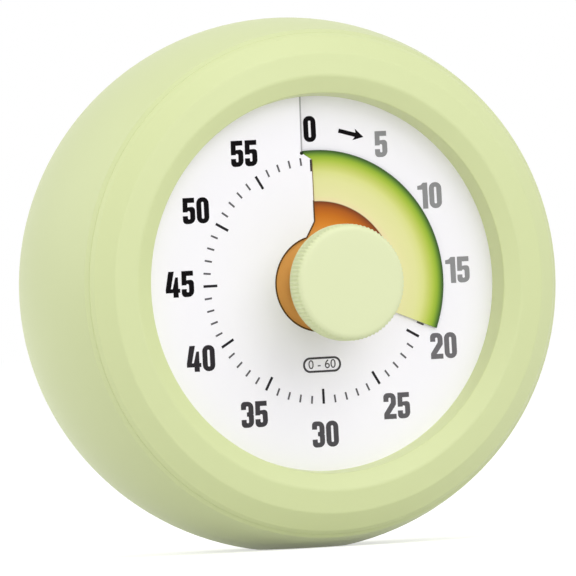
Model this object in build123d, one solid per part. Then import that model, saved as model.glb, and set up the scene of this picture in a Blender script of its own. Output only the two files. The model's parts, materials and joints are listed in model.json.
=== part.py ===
from build123d import *
import os
from math import acos, cos, degrees, pi, radians, sin, tan

# Round visual countdown timer, in millimetres.
# Everything is drawn in the dial's frame: x to the right, y up, z out of the dial,
# with z = 0 at the middle of the dial's thickness. The last lines stand it upright:
# +Z up, the dial facing -Y, and the origin under the middle of its box, on the rest face.

# Dial and coloured disc. Both climb one pitch in one clockwise turn, as a flexible
# slit sheet does, so the disc can screw through the dial's cut.
dial_radius = 30.15
dial_hole_radius = 7.6
dial_thickness = 0.35
disc_radius = 21.7
disc_thickness = 0.25
disc_gap = 0.2
disc_pitch = dial_thickness + disc_thickness + 2 * disc_gap
rest_minutes = 19
rest_angle = rest_minutes * 6
slit_gap = 0.12

# The dial's cut at 12 o'clock, as (x, distance) points from the edge to the hole.
# Distances count outwards from the dial's edge, inwards from the disc's edge, and
# outwards from the dial's hole. The cut stays inside the sweep angles on either side.
cut_at_edge = (-1.85, 1.0)
cut_at_disc = [(-2.1, 0.85), (-0.8, 2.15), (-0.4, 3.6)]
cut_at_hole = [(-0.4, 2.3), (-2.2, -0.65), (-2.75, -1.6)]
cut_sweep_left = 20
cut_sweep_right = 4
lip_sweep = 60

# Front bezel: ring widths outwards from the dial, and heights in front of it
dial_edge_gap = 0.15
wall_draft = 0.4
slope_width = 2.7
brow_width = 3.6
band_width = 2.8
edge_width = 0.6
wall_foot = -1.0
lip_height = 4.0
crest_height = 4.6
brow_height = 4.25
crease_height = 2.4
edge_height = 1.5
bezel_wall = 1.7
lip_round = 0.3
crease_round = 0.8
spigot_depth = 3.5
spigot_wall = 1.4
spigot_gap = 0.1

# Case: rim, belly and back
rim_step = 0.6
rim_height = 1.3
rim_round = 0.55
belly_bulge = 2.2
belly_depth = 13.5
back_taper = 2.4
back_corner = 4.5
case_wall = 2.0
foot_cut = 0.6

# Chassis and the posts round it
chassis_thickness = 1.5
chassis_gap = 0.2
dial_rim_width = 2.4
dial_ramp_start = -6
dial_seat_gap = 0.05
post_inset = 2.4
housing_post_radius = 2.6
chassis_post_radius = 2.4
boss_radius = 4.0
boss_roof = 3.0
counterbore_radius = 2.4
post_meeting_depth = 4.5
post_hole_gap = 0.3

# Screws: shaft radius, head radius, head height
screw_radius = 1.2
screw_head_radius = 2.2
screw_head_height = 1.6
screw_bite = 6.0
screw_gap = 0.02
small_screw_radius = 0.9
small_head_radius = 1.7
small_head_height = 0.9
cross_recess = 0.7
small_recess_length = 1.8
small_recess_width = 0.46

# Movement
movement_radius = 26.0
movement_wall = 1.5
movement_depth = 12.5
movement_room = 0.7
movement_post_ring = 23.2
movement_post_radius = 2.2
movement_post_angles = (85, 205, 310)
bush_radius = 3.5
bush_flange_radius = 4.6
bush_flange = 0.3
running_gap = 0.05

# Arbor, hub and knob
arbor_radius = 2.4
arbor_flat = 1.8
arbor_core_radius = 1.6
arbor_pivot_radius = 1.0
arbor_flange_radius = 3.8
arbor_flange = 0.6
hub_radius = 4.4
hub_flange_radius = 5.2
hub_flange = 0.4
hub_slide_gap = 0.17
knob_radius = 9.4
knob_height = 14.0
knob_skirt = 4.0
knob_edge_round = 0.9
knob_neck_radius = 5.2
knob_cove = 3.7
knob_roof = 2.8
serrations = 84
serration_depth = 0.3
serration_root = 0.05

# Wheel train: teeth, modules, levels behind the dial (middle of each wheel)
arbor_wheel_teeth = 80
third_pinion_teeth = 8
third_wheel_teeth = 80
fourth_pinion_teeth = 8
fourth_wheel_teeth = 60
rotor_pinion_teeth = 10
first_module = 0.3
second_module = 0.25
third_module = 0.2
third_direction = 150
fourth_direction = 44
rotor_direction = -10
arbor_wheel_thickness = 1.0
arbor_wheel_windows = 5
wheel_thickness = 0.8
pinion_overlap = 0.3
wheel_level_gap = 1.3
tooth_addendum = 0.8
tooth_dedendum = 1.2
tooth_thinning = 0.12
pressure_angle = 20
third_shaft_radius = 0.8
third_pivot_radius = 0.5
fourth_shaft_radius = 0.6
fourth_pivot_radius = 0.4
rotor_shaft_radius = 0.5
rotor_pivot_radius = 0.3
pivot_depth = 1.0
clutch_rim_radius = 5.0
clutch_rise = 0.75
clutch_thickness = 0.25
cam_radius = 4.5
cam_thickness = 1.2
cam_hub_radius = 2.4
cam_notch_width = 1.6
cam_notch_depth = 1.0

# Motor
magnet_radius = 2.0
magnet_height = 2.0
rotor_hole_radius = 2.4
rotor_bridge = 0.35
stator_thickness = 0.6
stator_width = 3.6
coil_x = 15.5
coil_radius = 2.8
coil_tube_radius = 1.9
coil_low = -6.2
coil_high = 12.4
coil_flange = 0.8
core_width = 2.4
core_thickness = 1.0
core_gap = 0.05
stator_low = -10.2
stator_high = 16.5
stator_leg_x = 3.4
stator_peg_radius = 1.2
stator_peg_x = 9.5

# Alarm contacts
leaf_thickness = 0.3
leaf_gap = 0.2
leaf_width = 1.2
leaf_root_x = -18.0
leaf_tip_x = 1.5
leaf_spacing = 1.7
leaf_foot = 2.4

# Battery (AA cell) and its bay
battery_radius = 7.1
battery_length = 50.5
battery_nub_radius = 2.75
battery_nub = 1.1
battery_round = 0.5
battery_nub_round = 0.4
battery_height = -9.0
battery_cover_gap = 0.4
bay_gap = 0.4
bay_wall = 1.4
bay_floor = 1.2
bay_floor_gap = 0.3
spring_room = 5.0
plate_room = 1.5
contact_plate = 0.4
contact_size = 10.0
spring_wire_radius = 0.4
spring_wide_radius = 4.2
spring_narrow_radius = 2.1
spring_start = 0.32
spring_turns = 3
spring_points_per_turn = 12
plate_bump_radius = 2.2
plate_bump_round = 0.4
lead_radius = 0.5
lead_inset = 0.6
lead_slot_gap = 0.2
lead_bend = 2.0
lead_run = 6.0

# Battery door
door_ledge = 1.5
door_thickness = 1.2
door_gap = 0.15
door_opening_length = 53.0
door_rib_length = 40.0
door_rib_width = 1.0
door_rib_depth = 2.0
door_groove = 0.4
door_grooves = 5
door_groove_spacing = 1.6
door_groove_step = 1.0
door_notch_radius = 7.0
door_notch_depth = 1.1
door_notch_reach = 4.0

# Circuit board, buzzer and sound switch
board_width = 36.0
board_height = 22.0
board_thickness = 1.2
board_corner = 1.5
board_middle = 15.0
board_room = 3.9
board_peg_radius = 2.4
board_peg_spread = 8.0
buzzer_radius = 6.0
buzzer_height = 3.4
buzzer_round = 0.4
buzzer_hole_depth = 1.0
buzzer_x = -9.0
sound_holes = 6
sound_hole_radius = 0.8
sound_hole_ring = 3.0
switch_x = 9.5
switch_length = 10.0
switch_width = 4.6
switch_height = 3.5
switch_roof = 1.0
switch_travel = 2.0
switch_dish_depth = 1.0
switch_dish_length = 13.0
switch_dish_width = 6.4
slider_stem_length = 2.4
slider_stem_width = 2.2
slider_cap_length = 4.6
slider_cap_width = 4.0
slider_gap = 0.15
slider_ridge = 0.25
slider_grooves = 5
chip_size = 5.0
chip_height = 1.2
crystal_radius = 1.0
crystal_length = 6.0
lead_pad_x = 15.0
lead_pad_height = 8.0
lead_lift = 2.6

# Sizes that follow from those above: radii of the front
wall_foot_radius = dial_radius + dial_edge_gap
lip_radius = wall_foot_radius + wall_draft
crest_radius = lip_radius + slope_width
brow_radius = crest_radius + brow_width
crease_radius = brow_radius + band_width
bezel_radius = crease_radius + edge_width
rim_radius = bezel_radius + rim_step
belly_radius = rim_radius + belly_bulge
back_radius = rim_radius - back_taper
axis_height = belly_radius - foot_cut
spigot_radius = rim_radius - case_wall - spigot_gap
post_ring = lip_radius + post_inset
chassis_radius = spigot_radius - spigot_wall - chassis_gap
housing_post_angles = (45, 135, 225, 315)
chassis_post_angles = (0, 90, 180, 270)

# Heights of the disc and hub at rest: its two ends meet at the rest angle
disc_front = disc_pitch * rest_angle / 360
disc_back = disc_front - disc_pitch
hub_front = disc_front + disc_thickness / 2 + hub_flange
hub_back = disc_back - disc_thickness / 2 - hub_flange
hub_highest = hub_front + disc_pitch * (360 - rest_angle) / 360
hub_lowest = hub_back - disc_pitch * rest_angle / 360
knob_foot = hub_highest + hub_slide_gap
bush_front = hub_lowest - hub_slide_gap

# Depths of the chassis, the movement and the battery behind it, which set the case's depth
chassis_front = bush_front - bush_flange
chassis_back = chassis_front - chassis_thickness
plate_back = chassis_back - movement_wall
movement_back = chassis_back - movement_depth
movement_floor = movement_back + movement_wall
bay_height = 2 * (battery_radius + bay_gap)
bay_length = battery_length + spring_room + plate_room
bay_front = movement_back - movement_room
bay_bottom = bay_front - bay_floor
battery_depth = bay_bottom - bay_floor_gap - battery_radius
case_depth = door_thickness + battery_cover_gap + battery_radius - battery_depth
case_inside = -case_depth + case_wall
board_back = case_inside + board_room
board_front = board_back + board_thickness

# Levels of the train
flange_back = plate_back - running_gap - arbor_flange
arbor_wheel_back = flange_back - arbor_wheel_thickness
third_wheel_level = arbor_wheel_back - wheel_level_gap - wheel_thickness / 2
fourth_wheel_level = third_wheel_level - wheel_thickness - wheel_level_gap
clutch_back = arbor_wheel_back - clutch_rise
cam_front = fourth_wheel_level + cam_thickness / 3
cam_back = cam_front - cam_thickness


def polar(radius, angle):
    """Point at an angle counted anticlockwise from the right."""
    return (radius * cos(radians(angle)), radius * sin(radians(angle)))


def cylinder(radius, low, high, centre=(0, 0)):
    """Round bar along the dial's axis, between two heights."""
    bar = Cylinder(radius, high - low, align=(Align.CENTER, Align.CENTER, Align.MIN))
    return Pos(centre[0], centre[1], low) * bar


def ring(outer, inner, low, high, centre=(0, 0)):
    """Tube along the dial's axis, between two heights."""
    return cylinder(outer, low, high, centre) - cylinder(inner, low, high, centre)


def block(x_low, x_high, y_low, y_high, z_low, z_high):
    """Box from its corners."""
    body = Box(x_high - x_low, y_high - y_low, z_high - z_low, align=(Align.MIN,) * 3)
    return Pos(x_low, y_low, z_low) * body


def turned(points):
    """Solid turned about the dial's axis from an outline of (radius, height) points."""
    outline = make_face(Polyline(*points, close=True))
    return revolve(Plane.XZ * outline, Axis.Z)


def prism(points, low, high):
    """Straight-sided solid from an outline in the dial's plane."""
    outline = make_face(Polyline(*points, close=True))
    return extrude(Pos(0, 0, low) * outline, high - low)


def double_flat(radius, flat, low, high):
    """Round bar with two flats, which keys what slides on it."""
    return cylinder(radius, low, high) & block(-radius, radius, -flat, flat, low, high)


def copies(make, places):
    """Separate solids, one at each place."""
    return Compound(children=[Pos(x, y, 0) * make for x, y in places])


def climbing_sector(inner, outer, thickness, start, end, height):
    """Sector of a ring that climbs with the clockwise angle.

    Angles count clockwise from the top, and height is the middle's height at angle 0.
    """
    turn = (end - start) / 360
    level = height + disc_pitch * start / 360

    def edge(radius, side):
        helix = Helix(disc_pitch, disc_pitch * turn, radius, lefthand=True)
        return (Pos(0, 0, level + side * thickness / 2) * Rot(0, 0, 90 - start) * helix).edges()[0]

    edges = [edge(inner, 1), edge(outer, 1), edge(outer, -1), edge(inner, -1)]
    neighbours = zip(edges, edges[1:] + edges[:1])
    faces = [Face.make_surface_from_curves(one, other) for one, other in neighbours]
    for position in (0, 1):
        corners = [one @ position for one in edges]
        faces.append(Face(Wire.make_polygon(corners, close=True)))
    return Part() + Solid(Shell(faces))


def climbing_ring(inner, outer, thickness, start, end, height):
    """The same ring over a long angle, joined from sectors of at most a quarter turn."""
    count = int((end - start - 1) // 90) + 1
    step = (end - start) / count
    whole = Part()
    for index in range(count):
        low = start + index * step
        whole += climbing_sector(inner, outer, thickness, low, low + step, height)
    return whole


# ---- Case ----

def make_rear_housing():
    """Barrel-shaped rear shell with its screw bosses, battery bay, board pegs and openings."""
    rim_corner = rim_height - rim_round
    side = ThreePointArc(
        (rim_radius, rim_corner), (belly_radius, -belly_depth), (back_radius, -case_depth)
    )
    outline = side + Polyline(
        (back_radius, -case_depth), (0, -case_depth), (0, rim_height),
        (rim_radius - rim_round, rim_height), (rim_radius, rim_corner),
    )
    outer = revolve(Plane.XZ * make_face(outline), Axis.Z)
    back_edge = outer.edges().filter_by(GeomType.CIRCLE).sort_by(Axis.Z)[0]
    outer = fillet(back_edge, back_corner)
    inside_side = ThreePointArc(
        (rim_radius - case_wall, rim_corner),
        (belly_radius - case_wall, -belly_depth),
        (back_radius - case_wall, case_inside),
    )
    inside = inside_side + Polyline(
        (back_radius - case_wall, case_inside), (0, case_inside), (0, rim_height),
        (rim_radius - case_wall, rim_height), (rim_radius - case_wall, rim_corner),
    )
    cavity = revolve(Plane.XZ * make_face(inside), Axis.Z)
    cavity_edge = cavity.edges().filter_by(GeomType.CIRCLE).sort_by(Axis.Z)[0]
    cavity = fillet(cavity_edge, back_corner - case_wall)

    inner_parts = Part()
    for angle in housing_post_angles:
        inner_parts += cylinder(boss_radius, -case_depth, -post_meeting_depth, polar(post_ring, angle))
    half_length = bay_length / 2
    bay_low = battery_height - bay_height / 2
    bay_high = battery_height + bay_height / 2
    inner_parts += block(
        -half_length - bay_wall, half_length + bay_wall,
        bay_low - bay_wall, bay_high + bay_wall, -case_depth, bay_front,
    )
    for place in board_peg_places():
        inner_parts += cylinder(board_peg_radius, case_inside - case_wall / 2, board_back, place)
    housing = (outer - cavity) + (inner_parts & outer)

    housing -= block(-half_length, half_length, bay_low, bay_high, case_inside, bay_bottom)
    housing -= door_opening()
    for side in (-1, 1):
        x = side * (half_length - lead_inset)
        reach = lead_radius + lead_slot_gap
        housing -= block(
            max(x - reach, -half_length), min(x + reach, half_length),
            bay_high, bay_high + bay_wall, battery_depth - reach, battery_depth + reach,
        )
    for angle in housing_post_angles:
        place = polar(post_ring, angle)
        housing -= cylinder(counterbore_radius, -case_depth, -post_meeting_depth - boss_roof, place)
        housing -= cylinder(screw_radius + screw_gap, -case_depth, -post_meeting_depth, place)
    for place in board_peg_places():
        housing -= cylinder(small_screw_radius + screw_gap, case_inside, board_back, place)
    housing -= switch_opening()
    for place in sound_hole_places():
        housing -= cylinder(sound_hole_radius, -case_depth, case_inside, place)
    foot = -axis_height
    housing -= block(-belly_radius, belly_radius, foot - belly_radius, foot, -case_depth, rim_height)
    return housing


def door_opening():
    """Stepped hole in the back for the battery door, with a notch for a fingertip."""
    half_length = door_opening_length / 2
    half_height = bay_height / 2
    hole = block(
        -half_length, half_length,
        battery_height - half_height, battery_height + half_height, -case_depth, case_inside,
    )
    seat_x = half_length + door_ledge + door_gap
    seat_y = half_height + door_ledge + door_gap
    hole += block(
        -seat_x, seat_x, battery_height - seat_y, battery_height + seat_y,
        -case_depth, -case_depth + door_thickness,
    )
    notch = Pos(0, battery_height + seat_y + door_notch_reach - door_notch_radius, -case_depth)
    hole += notch * Cylinder(door_notch_radius, 2 * door_notch_depth)
    return hole


def switch_opening():
    """Shallow dish and slot for the sound switch's slider."""
    dish = SlotOverall(switch_dish_length, switch_dish_width)
    hole = Pos(switch_x, board_middle, 0) * extrude(dish, switch_dish_depth)
    slot_length = slider_stem_length + 2 * switch_travel + 2 * slider_gap
    slot_width = slider_stem_width + 2 * slider_gap
    hole += Pos(switch_x, board_middle, 0) * extrude(Rectangle(slot_length, slot_width), case_wall)
    return Pos(0, 0, -case_depth) * hole


def sound_hole_places():
    """A hole in the middle and a ring of holes round it, over the buzzer."""
    places = [(buzzer_x, board_middle)]
    for index in range(sound_holes):
        x, y = polar(sound_hole_ring, 360 / sound_holes * index)
        places.append((buzzer_x + x, board_middle + y))
    return places


def board_peg_places():
    """Two pegs for the circuit board, one above the other."""
    return [(0, board_middle - board_peg_spread), (0, board_middle + board_peg_spread)]


def make_front_bezel():
    """Front ring: side, sloping band, crest, inward slope, wall round the dial and spigot."""
    spigot_inner = spigot_radius - spigot_wall
    outline = Polyline(
        (bezel_radius, edge_height),
        (crease_radius, crease_height),
        (brow_radius, brow_height),
        (crest_radius, crest_height),
        (lip_radius, lip_height),
        (wall_foot_radius, wall_foot),
        (wall_foot_radius + bezel_wall, wall_foot),
        (lip_radius + bezel_wall, lip_height - bezel_wall),
        (brow_radius - bezel_wall / 2, brow_height - bezel_wall),
        (spigot_inner, rim_height - bezel_wall / 2),
        (spigot_inner, rim_height - spigot_depth),
        (spigot_radius, rim_height - spigot_depth),
        (spigot_radius, rim_height),
        (bezel_radius, rim_height),
        (bezel_radius, edge_height),
    )
    bezel = revolve(Plane.XZ * make_face(outline), Axis.Z)
    for radius, height, rounding in (
        (lip_radius, lip_height, lip_round), (crease_radius, crease_height, crease_round)
    ):
        corner = bezel.edges().filter_by(GeomType.CIRCLE).filter_by(
            lambda one: abs(one.radius - radius) < 0.01 and abs(one.center().Z - height) < 0.01
        )
        bezel = fillet(corner, rounding)
    post_top = lip_height - bezel_wall / 2
    keep_off_dial = cylinder(wall_foot_radius + bezel_wall / 2, -case_depth, post_top)
    for angles, radius, foot in (
        (housing_post_angles, housing_post_radius, -post_meeting_depth),
        (chassis_post_angles, chassis_post_radius, chassis_front),
    ):
        for angle in angles:
            place = polar(post_ring, angle)
            bezel += cylinder(radius, foot, post_top, place) - keep_off_dial
            bezel -= cylinder(screw_radius + screw_gap, foot, foot + screw_bite, place)
    return bezel


def cross(length, width, low, high):
    """Cross-shaped recess for a driver."""
    bar = block(-length / 2, length / 2, -width / 2, width / 2, low, high)
    return bar + Rot(0, 0, 90) * bar


def pan_screw(head_low, reach, radius, head_radius, head_height):
    """Screw that points to the front, with a cross recess in its head."""
    head = cylinder(head_radius, head_low, head_low + head_height)
    rim = head.edges().filter_by(GeomType.CIRCLE).sort_by(Axis.Z)[0]
    head = fillet(rim, head_height / 3)
    recess = cross(head_radius, cross_recess, head_low, head_low + head_height / 2)
    return head + cylinder(radius, head_low, reach) - recess


def make_housing_screws():
    """Four long-reach screws from the back, deep in their counterbores."""
    seat = -post_meeting_depth - boss_roof
    screw = pan_screw(
        seat - screw_head_height, -post_meeting_depth + screw_bite - screw_gap,
        screw_radius, screw_head_radius, screw_head_height,
    )
    return copies(screw, [polar(post_ring, angle) for angle in housing_post_angles])


def make_chassis_screws():
    """Four screws that clamp the chassis to the bezel's short posts."""
    screw = pan_screw(
        chassis_back - screw_head_height, chassis_front + screw_bite - screw_gap,
        screw_radius, screw_head_radius, screw_head_height,
    )
    return copies(screw, [polar(post_ring, angle) for angle in chassis_post_angles])


# ---- Dial side ----

def cut_line():
    """The dial's cut from its edge down to the hole, as seen from the front."""
    line = [(cut_at_edge[0], dial_radius + cut_at_edge[1])]
    line += [(x, disc_radius - inset) for x, inset in cut_at_disc]
    line += [(x, dial_hole_radius + outset) for x, outset in cut_at_hole]
    return line


def make_dial():
    """White dial sheet. Left of the cut it is the upper lip, and right of it the lower one."""
    height = -disc_pitch / 2
    size = (dial_hole_radius, dial_radius, dial_thickness)
    line = cut_line()
    top = line[0][1]
    bottom = line[-1][1]
    reach = dial_radius / 2
    right_side = prism(line + [(reach, bottom), (reach, top)], -disc_pitch, disc_pitch)
    shifted = [(x + slit_gap, y) for x, y in line]
    left_side = prism(shifted + [(-reach, bottom), (-reach, top)], -disc_pitch, disc_pitch)
    last = 360 - lip_sweep
    lower_lip = climbing_sector(*size, -cut_sweep_left, lip_sweep, height) - left_side
    upper_lip = climbing_sector(*size, last, 360 + cut_sweep_right, height) - right_side
    return climbing_ring(*size, lip_sweep, last, height) + lower_lip + upper_lip


def make_progress_disc():
    """Coloured disc of one full turn, set to the rest angle."""
    return climbing_ring(hub_radius, disc_radius, disc_thickness, rest_angle - 360, rest_angle, 0)


def make_disc_hub():
    """Hub that carries the disc and slides on the arbor's flats."""
    hub = cylinder(hub_radius, hub_back, hub_front)
    hub += cylinder(hub_flange_radius, hub_front - hub_flange, hub_front)
    hub += cylinder(hub_flange_radius, hub_back, hub_back + hub_flange)
    return hub - double_flat(arbor_radius + running_gap, arbor_flat + running_gap, hub_back, hub_front)


def make_knob():
    """Mushroom knob: round face, serrated skirt, cove and neck."""
    skirt_foot = knob_height - knob_skirt
    cove_radius = knob_neck_radius + knob_cove
    core_radius = knob_radius - serration_depth - serration_root
    cove = TangentArc(
        (knob_neck_radius, skirt_foot - knob_cove), (cove_radius, skirt_foot), tangent=(0, 1)
    )
    outline = cove + Polyline(
        (cove_radius, skirt_foot),
        (core_radius, skirt_foot + (core_radius - cove_radius) / 2),
        (core_radius, knob_height),
        (0, knob_height),
        (0, knob_foot),
        (knob_neck_radius, knob_foot),
        (knob_neck_radius, skirt_foot - knob_cove),
    )
    knob = revolve(Plane.XZ * make_face(outline), Axis.Z)
    face_edge = knob.edges().filter_by(GeomType.CIRCLE).sort_by(Axis.Z)[-1]
    knob = fillet(face_edge, knob_edge_round)
    points = []
    for index in range(serrations):
        points.append(polar(knob_radius, 360 * index / serrations))
        points.append(polar(knob_radius - serration_depth, 360 * (index + 0.5) / serrations))
    knob += prism(points, skirt_foot + knob_edge_round / 2, knob_height - knob_edge_round)
    bore_top = knob_height - knob_roof
    return knob - double_flat(arbor_radius + screw_gap, arbor_flat + screw_gap, knob_foot, bore_top)


def make_chassis():
    """Plate behind the dial. Its ramped rim carries the dial's edge."""
    plate = cylinder(chassis_radius, chassis_back, chassis_front)
    rim_outer = dial_radius - chassis_gap
    rim = ring(rim_outer, rim_outer - dial_rim_width, chassis_front, disc_pitch)
    below_dial = -disc_pitch / 2 - dial_thickness / 2 - dial_seat_gap
    thick = disc_pitch - chassis_front
    for quarter in range(4):
        start = dial_ramp_start + 90 * quarter
        ramp = climbing_sector(
            rim_outer - 2 * dial_rim_width, dial_radius + dial_rim_width, thick,
            start, start + 90, below_dial - thick / 2,
        )
        plate += rim & ramp
    for angle in housing_post_angles:
        hole = housing_post_radius + post_hole_gap
        plate -= cylinder(hole, chassis_back, chassis_front, polar(post_ring, angle))
    for angle in chassis_post_angles:
        hole = screw_radius + post_hole_gap
        plate -= cylinder(hole, chassis_back, chassis_front, polar(post_ring, angle))
    plate -= cylinder(bush_radius, chassis_back, chassis_front)
    for angle in movement_post_angles:
        place = polar(movement_post_ring, angle)
        plate -= Pos(place[0], place[1], 0) * movement_screw_shape(screw_gap)
    return plate


def movement_screw_shape(growth):
    """Countersunk screw, or its hole when grown."""
    head = small_head_radius + growth
    shaft = small_screw_radius + growth
    tip = plate_back - screw_bite
    return turned([
        (0, chassis_front), (head, chassis_front), (shaft, chassis_front - small_head_height),
        (shaft, tip - growth), (0, tip - growth),
    ])


def make_movement_screws():
    """Three countersunk screws from the front, flush with the chassis."""
    screw = movement_screw_shape(0)
    recess_foot = chassis_front - small_head_height / 2
    screw -= cross(small_recess_length, small_recess_width, recess_foot, chassis_front)
    return copies(screw, [polar(movement_post_ring, angle) for angle in movement_post_angles])


# ---- Wheel train ----

def gear_outline(teeth, module, first_tooth):
    """Involute teeth, thinned for backlash. first_tooth is one tooth's angle in degrees."""
    pitch_radius = teeth * module / 2
    base_radius = pitch_radius * cos(radians(pressure_angle))
    tip_radius = pitch_radius + tooth_addendum * module
    root_radius = pitch_radius - tooth_dedendum * module
    pitch_half = pi / (2 * teeth) * (1 - tooth_thinning)

    def involute(angle):
        return tan(angle) - angle

    def half_angle(radius):
        slope = acos(min(1, base_radius / radius))
        return degrees(pitch_half + involute(radians(pressure_angle)) - involute(slope))

    start = max(base_radius, root_radius)
    radii = [root_radius, start, (start + tip_radius) / 2, tip_radius]
    if root_radius >= base_radius:
        radii = radii[1:]
    points = []
    for index in range(teeth):
        middle = first_tooth + 360 * index / teeth
        points += [polar(radius, middle - half_angle(radius)) for radius in radii]
        points += [polar(radius, middle + half_angle(radius)) for radius in reversed(radii)]
    return points


def gear(teeth, module, first_tooth, low, high):
    """Straight-toothed wheel about the origin."""
    return prism(gear_outline(teeth, module, first_tooth), low, high)


def meshing_tooth(direction, driver_teeth, driver_tooth, teeth):
    """Angle of one tooth of a wheel that meshes with a driver lying opposite to direction."""
    driver_phase = ((direction - driver_tooth) * driver_teeth / 360) % 1
    return direction + 180 - (0.5 - driver_phase) * 360 / teeth


third_distance = (arbor_wheel_teeth + third_pinion_teeth) * first_module / 2
fourth_distance = (third_wheel_teeth + fourth_pinion_teeth) * second_module / 2
rotor_distance = (fourth_wheel_teeth + rotor_pinion_teeth) * third_module / 2
third_place = polar(third_distance, third_direction)
fourth_step = polar(fourth_distance, fourth_direction)
fourth_place = (third_place[0] + fourth_step[0], third_place[1] + fourth_step[1])
rotor_step = polar(rotor_distance, rotor_direction)
rotor_place = (fourth_place[0] + rotor_step[0], fourth_place[1] + rotor_step[1])
third_pinion_tooth = meshing_tooth(third_direction, arbor_wheel_teeth, 0, third_pinion_teeth)
fourth_pinion_tooth = meshing_tooth(fourth_direction, third_wheel_teeth, 0, fourth_pinion_teeth)
rotor_pinion_tooth = meshing_tooth(rotor_direction, fourth_wheel_teeth, 0, rotor_pinion_teeth)


def make_arbor():
    """Steel shaft: keyed nose, journal, thrust flange, core and rear pivot."""
    keyed_top = knob_height - knob_roof - screw_gap
    keyed_foot = bush_front
    arbor = double_flat(arbor_radius, arbor_flat, keyed_foot, keyed_top)
    arbor += cylinder(arbor_radius, plate_back - running_gap, keyed_foot)
    arbor += cylinder(arbor_flange_radius, flange_back, plate_back - running_gap)
    arbor += cylinder(arbor_core_radius, movement_floor + running_gap, flange_back)
    pivot_foot = movement_back + pivot_depth / 2
    return arbor + cylinder(arbor_pivot_radius, pivot_foot, movement_floor + running_gap)


def make_arbor_bush():
    """Brass bush through the chassis and the front plate."""
    bush = cylinder(bush_radius, plate_back, chassis_front)
    bush += cylinder(bush_flange_radius, chassis_front, bush_front)
    return bush - cylinder(arbor_radius + running_gap, plate_back, bush_front)


def make_arbor_wheel():
    """Large wheel, gripped between the arbor's flange and the clutch spring."""
    wheel = gear(arbor_wheel_teeth, first_module, 0, arbor_wheel_back, flange_back)
    wheel -= cylinder(arbor_core_radius + running_gap, arbor_wheel_back, flange_back)
    web = (arbor_wheel_teeth * first_module / 2 + clutch_rim_radius) / 2
    window = (arbor_wheel_teeth * first_module / 2 - clutch_rim_radius) / 4
    for index in range(arbor_wheel_windows):
        angle = 360 / arbor_wheel_windows * (index + 0.5)
        wheel -= cylinder(window, arbor_wheel_back, flange_back, polar(web, angle))
    return wheel


def make_clutch_spring():
    """Dished washer pressed against the arbor wheel's web."""
    inner = arbor_core_radius + running_gap
    return turned([
        (inner, clutch_back), (cam_hub_radius, clutch_back),
        (clutch_rim_radius, arbor_wheel_back - clutch_thickness), (clutch_rim_radius, arbor_wheel_back),
        (clutch_rim_radius - clutch_thickness, arbor_wheel_back), (inner, clutch_back + clutch_thickness),
    ])


def make_alarm_cam():
    """Cam whose notch comes under the sprung leaf at zero."""
    cam = cylinder(cam_radius, cam_back, cam_front) + cylinder(cam_hub_radius, cam_front, clutch_back)
    cam -= cylinder(arbor_core_radius, cam_back, clutch_back)
    notch = block(
        -cam_notch_width / 2, cam_notch_width / 2,
        -cam_radius - cam_notch_depth, -cam_radius + cam_notch_depth, cam_back, cam_front,
    )
    return cam - Rot(0, 0, -rest_angle) * notch


def pinion_wheel(place, teeth, module, tooth, pinion_low, pinion_high, wheel, shaft, pivot):
    """Moulded pinion, wheel and shaft, with a pivot at each end.

    wheel holds the wheel's teeth, module and middle level.
    """
    body = gear(teeth, module, tooth, pinion_low, pinion_high)
    wheel_teeth, wheel_module, level = wheel
    low, high = level - wheel_thickness / 2, level + wheel_thickness / 2
    body += gear(wheel_teeth, wheel_module, 0, low, high)
    body += cylinder(shaft, movement_floor + running_gap, plate_back - running_gap)
    reach = pivot_depth - running_gap
    body += cylinder(pivot, movement_floor - reach, plate_back + reach)
    return Pos(place[0], place[1], 0) * body


def make_third_wheel():
    low = arbor_wheel_back - pinion_overlap
    high = flange_back + pinion_overlap
    wheel = (third_wheel_teeth, second_module, third_wheel_level)
    return pinion_wheel(
        third_place, third_pinion_teeth, first_module, third_pinion_tooth, low, high,
        wheel, third_shaft_radius, third_pivot_radius,
    )


def make_fourth_wheel():
    low = third_wheel_level - wheel_thickness / 2 - pinion_overlap
    high = third_wheel_level + wheel_thickness / 2 + pinion_overlap
    wheel = (fourth_wheel_teeth, third_module, fourth_wheel_level)
    return pinion_wheel(
        fourth_place, fourth_pinion_teeth, second_module, fourth_pinion_tooth, low, high,
        wheel, fourth_shaft_radius, fourth_pivot_radius,
    )


magnet_high = fourth_wheel_level - wheel_thickness / 2 - 2 * pinion_overlap
magnet_low = magnet_high - magnet_height


def make_rotor_pinion():
    """Pinion and shaft of the stepping motor's rotor."""
    low = fourth_wheel_level - wheel_thickness / 2 - pinion_overlap
    high = fourth_wheel_level + wheel_thickness / 2 + pinion_overlap
    body = gear(rotor_pinion_teeth, third_module, rotor_pinion_tooth, low, high)
    body += cylinder(rotor_shaft_radius, movement_floor + running_gap, plate_back - running_gap)
    reach = pivot_depth - running_gap
    body += cylinder(rotor_pivot_radius, movement_floor - reach, plate_back + reach)
    return Pos(rotor_place[0], rotor_place[1], 0) * body


def make_rotor_magnet():
    """Ring magnet pressed on the rotor's shaft."""
    return ring(magnet_radius, rotor_shaft_radius, magnet_low, magnet_high, rotor_place)


def pivot_holes(low, high):
    """Bearing holes of the three small shafts."""
    holes = Part()
    for place, radius in (
        (third_place, third_pivot_radius),
        (fourth_place, fourth_pivot_radius),
        (rotor_place, rotor_pivot_radius),
    ):
        holes += cylinder(radius + running_gap, low, high, place)
    return holes


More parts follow.
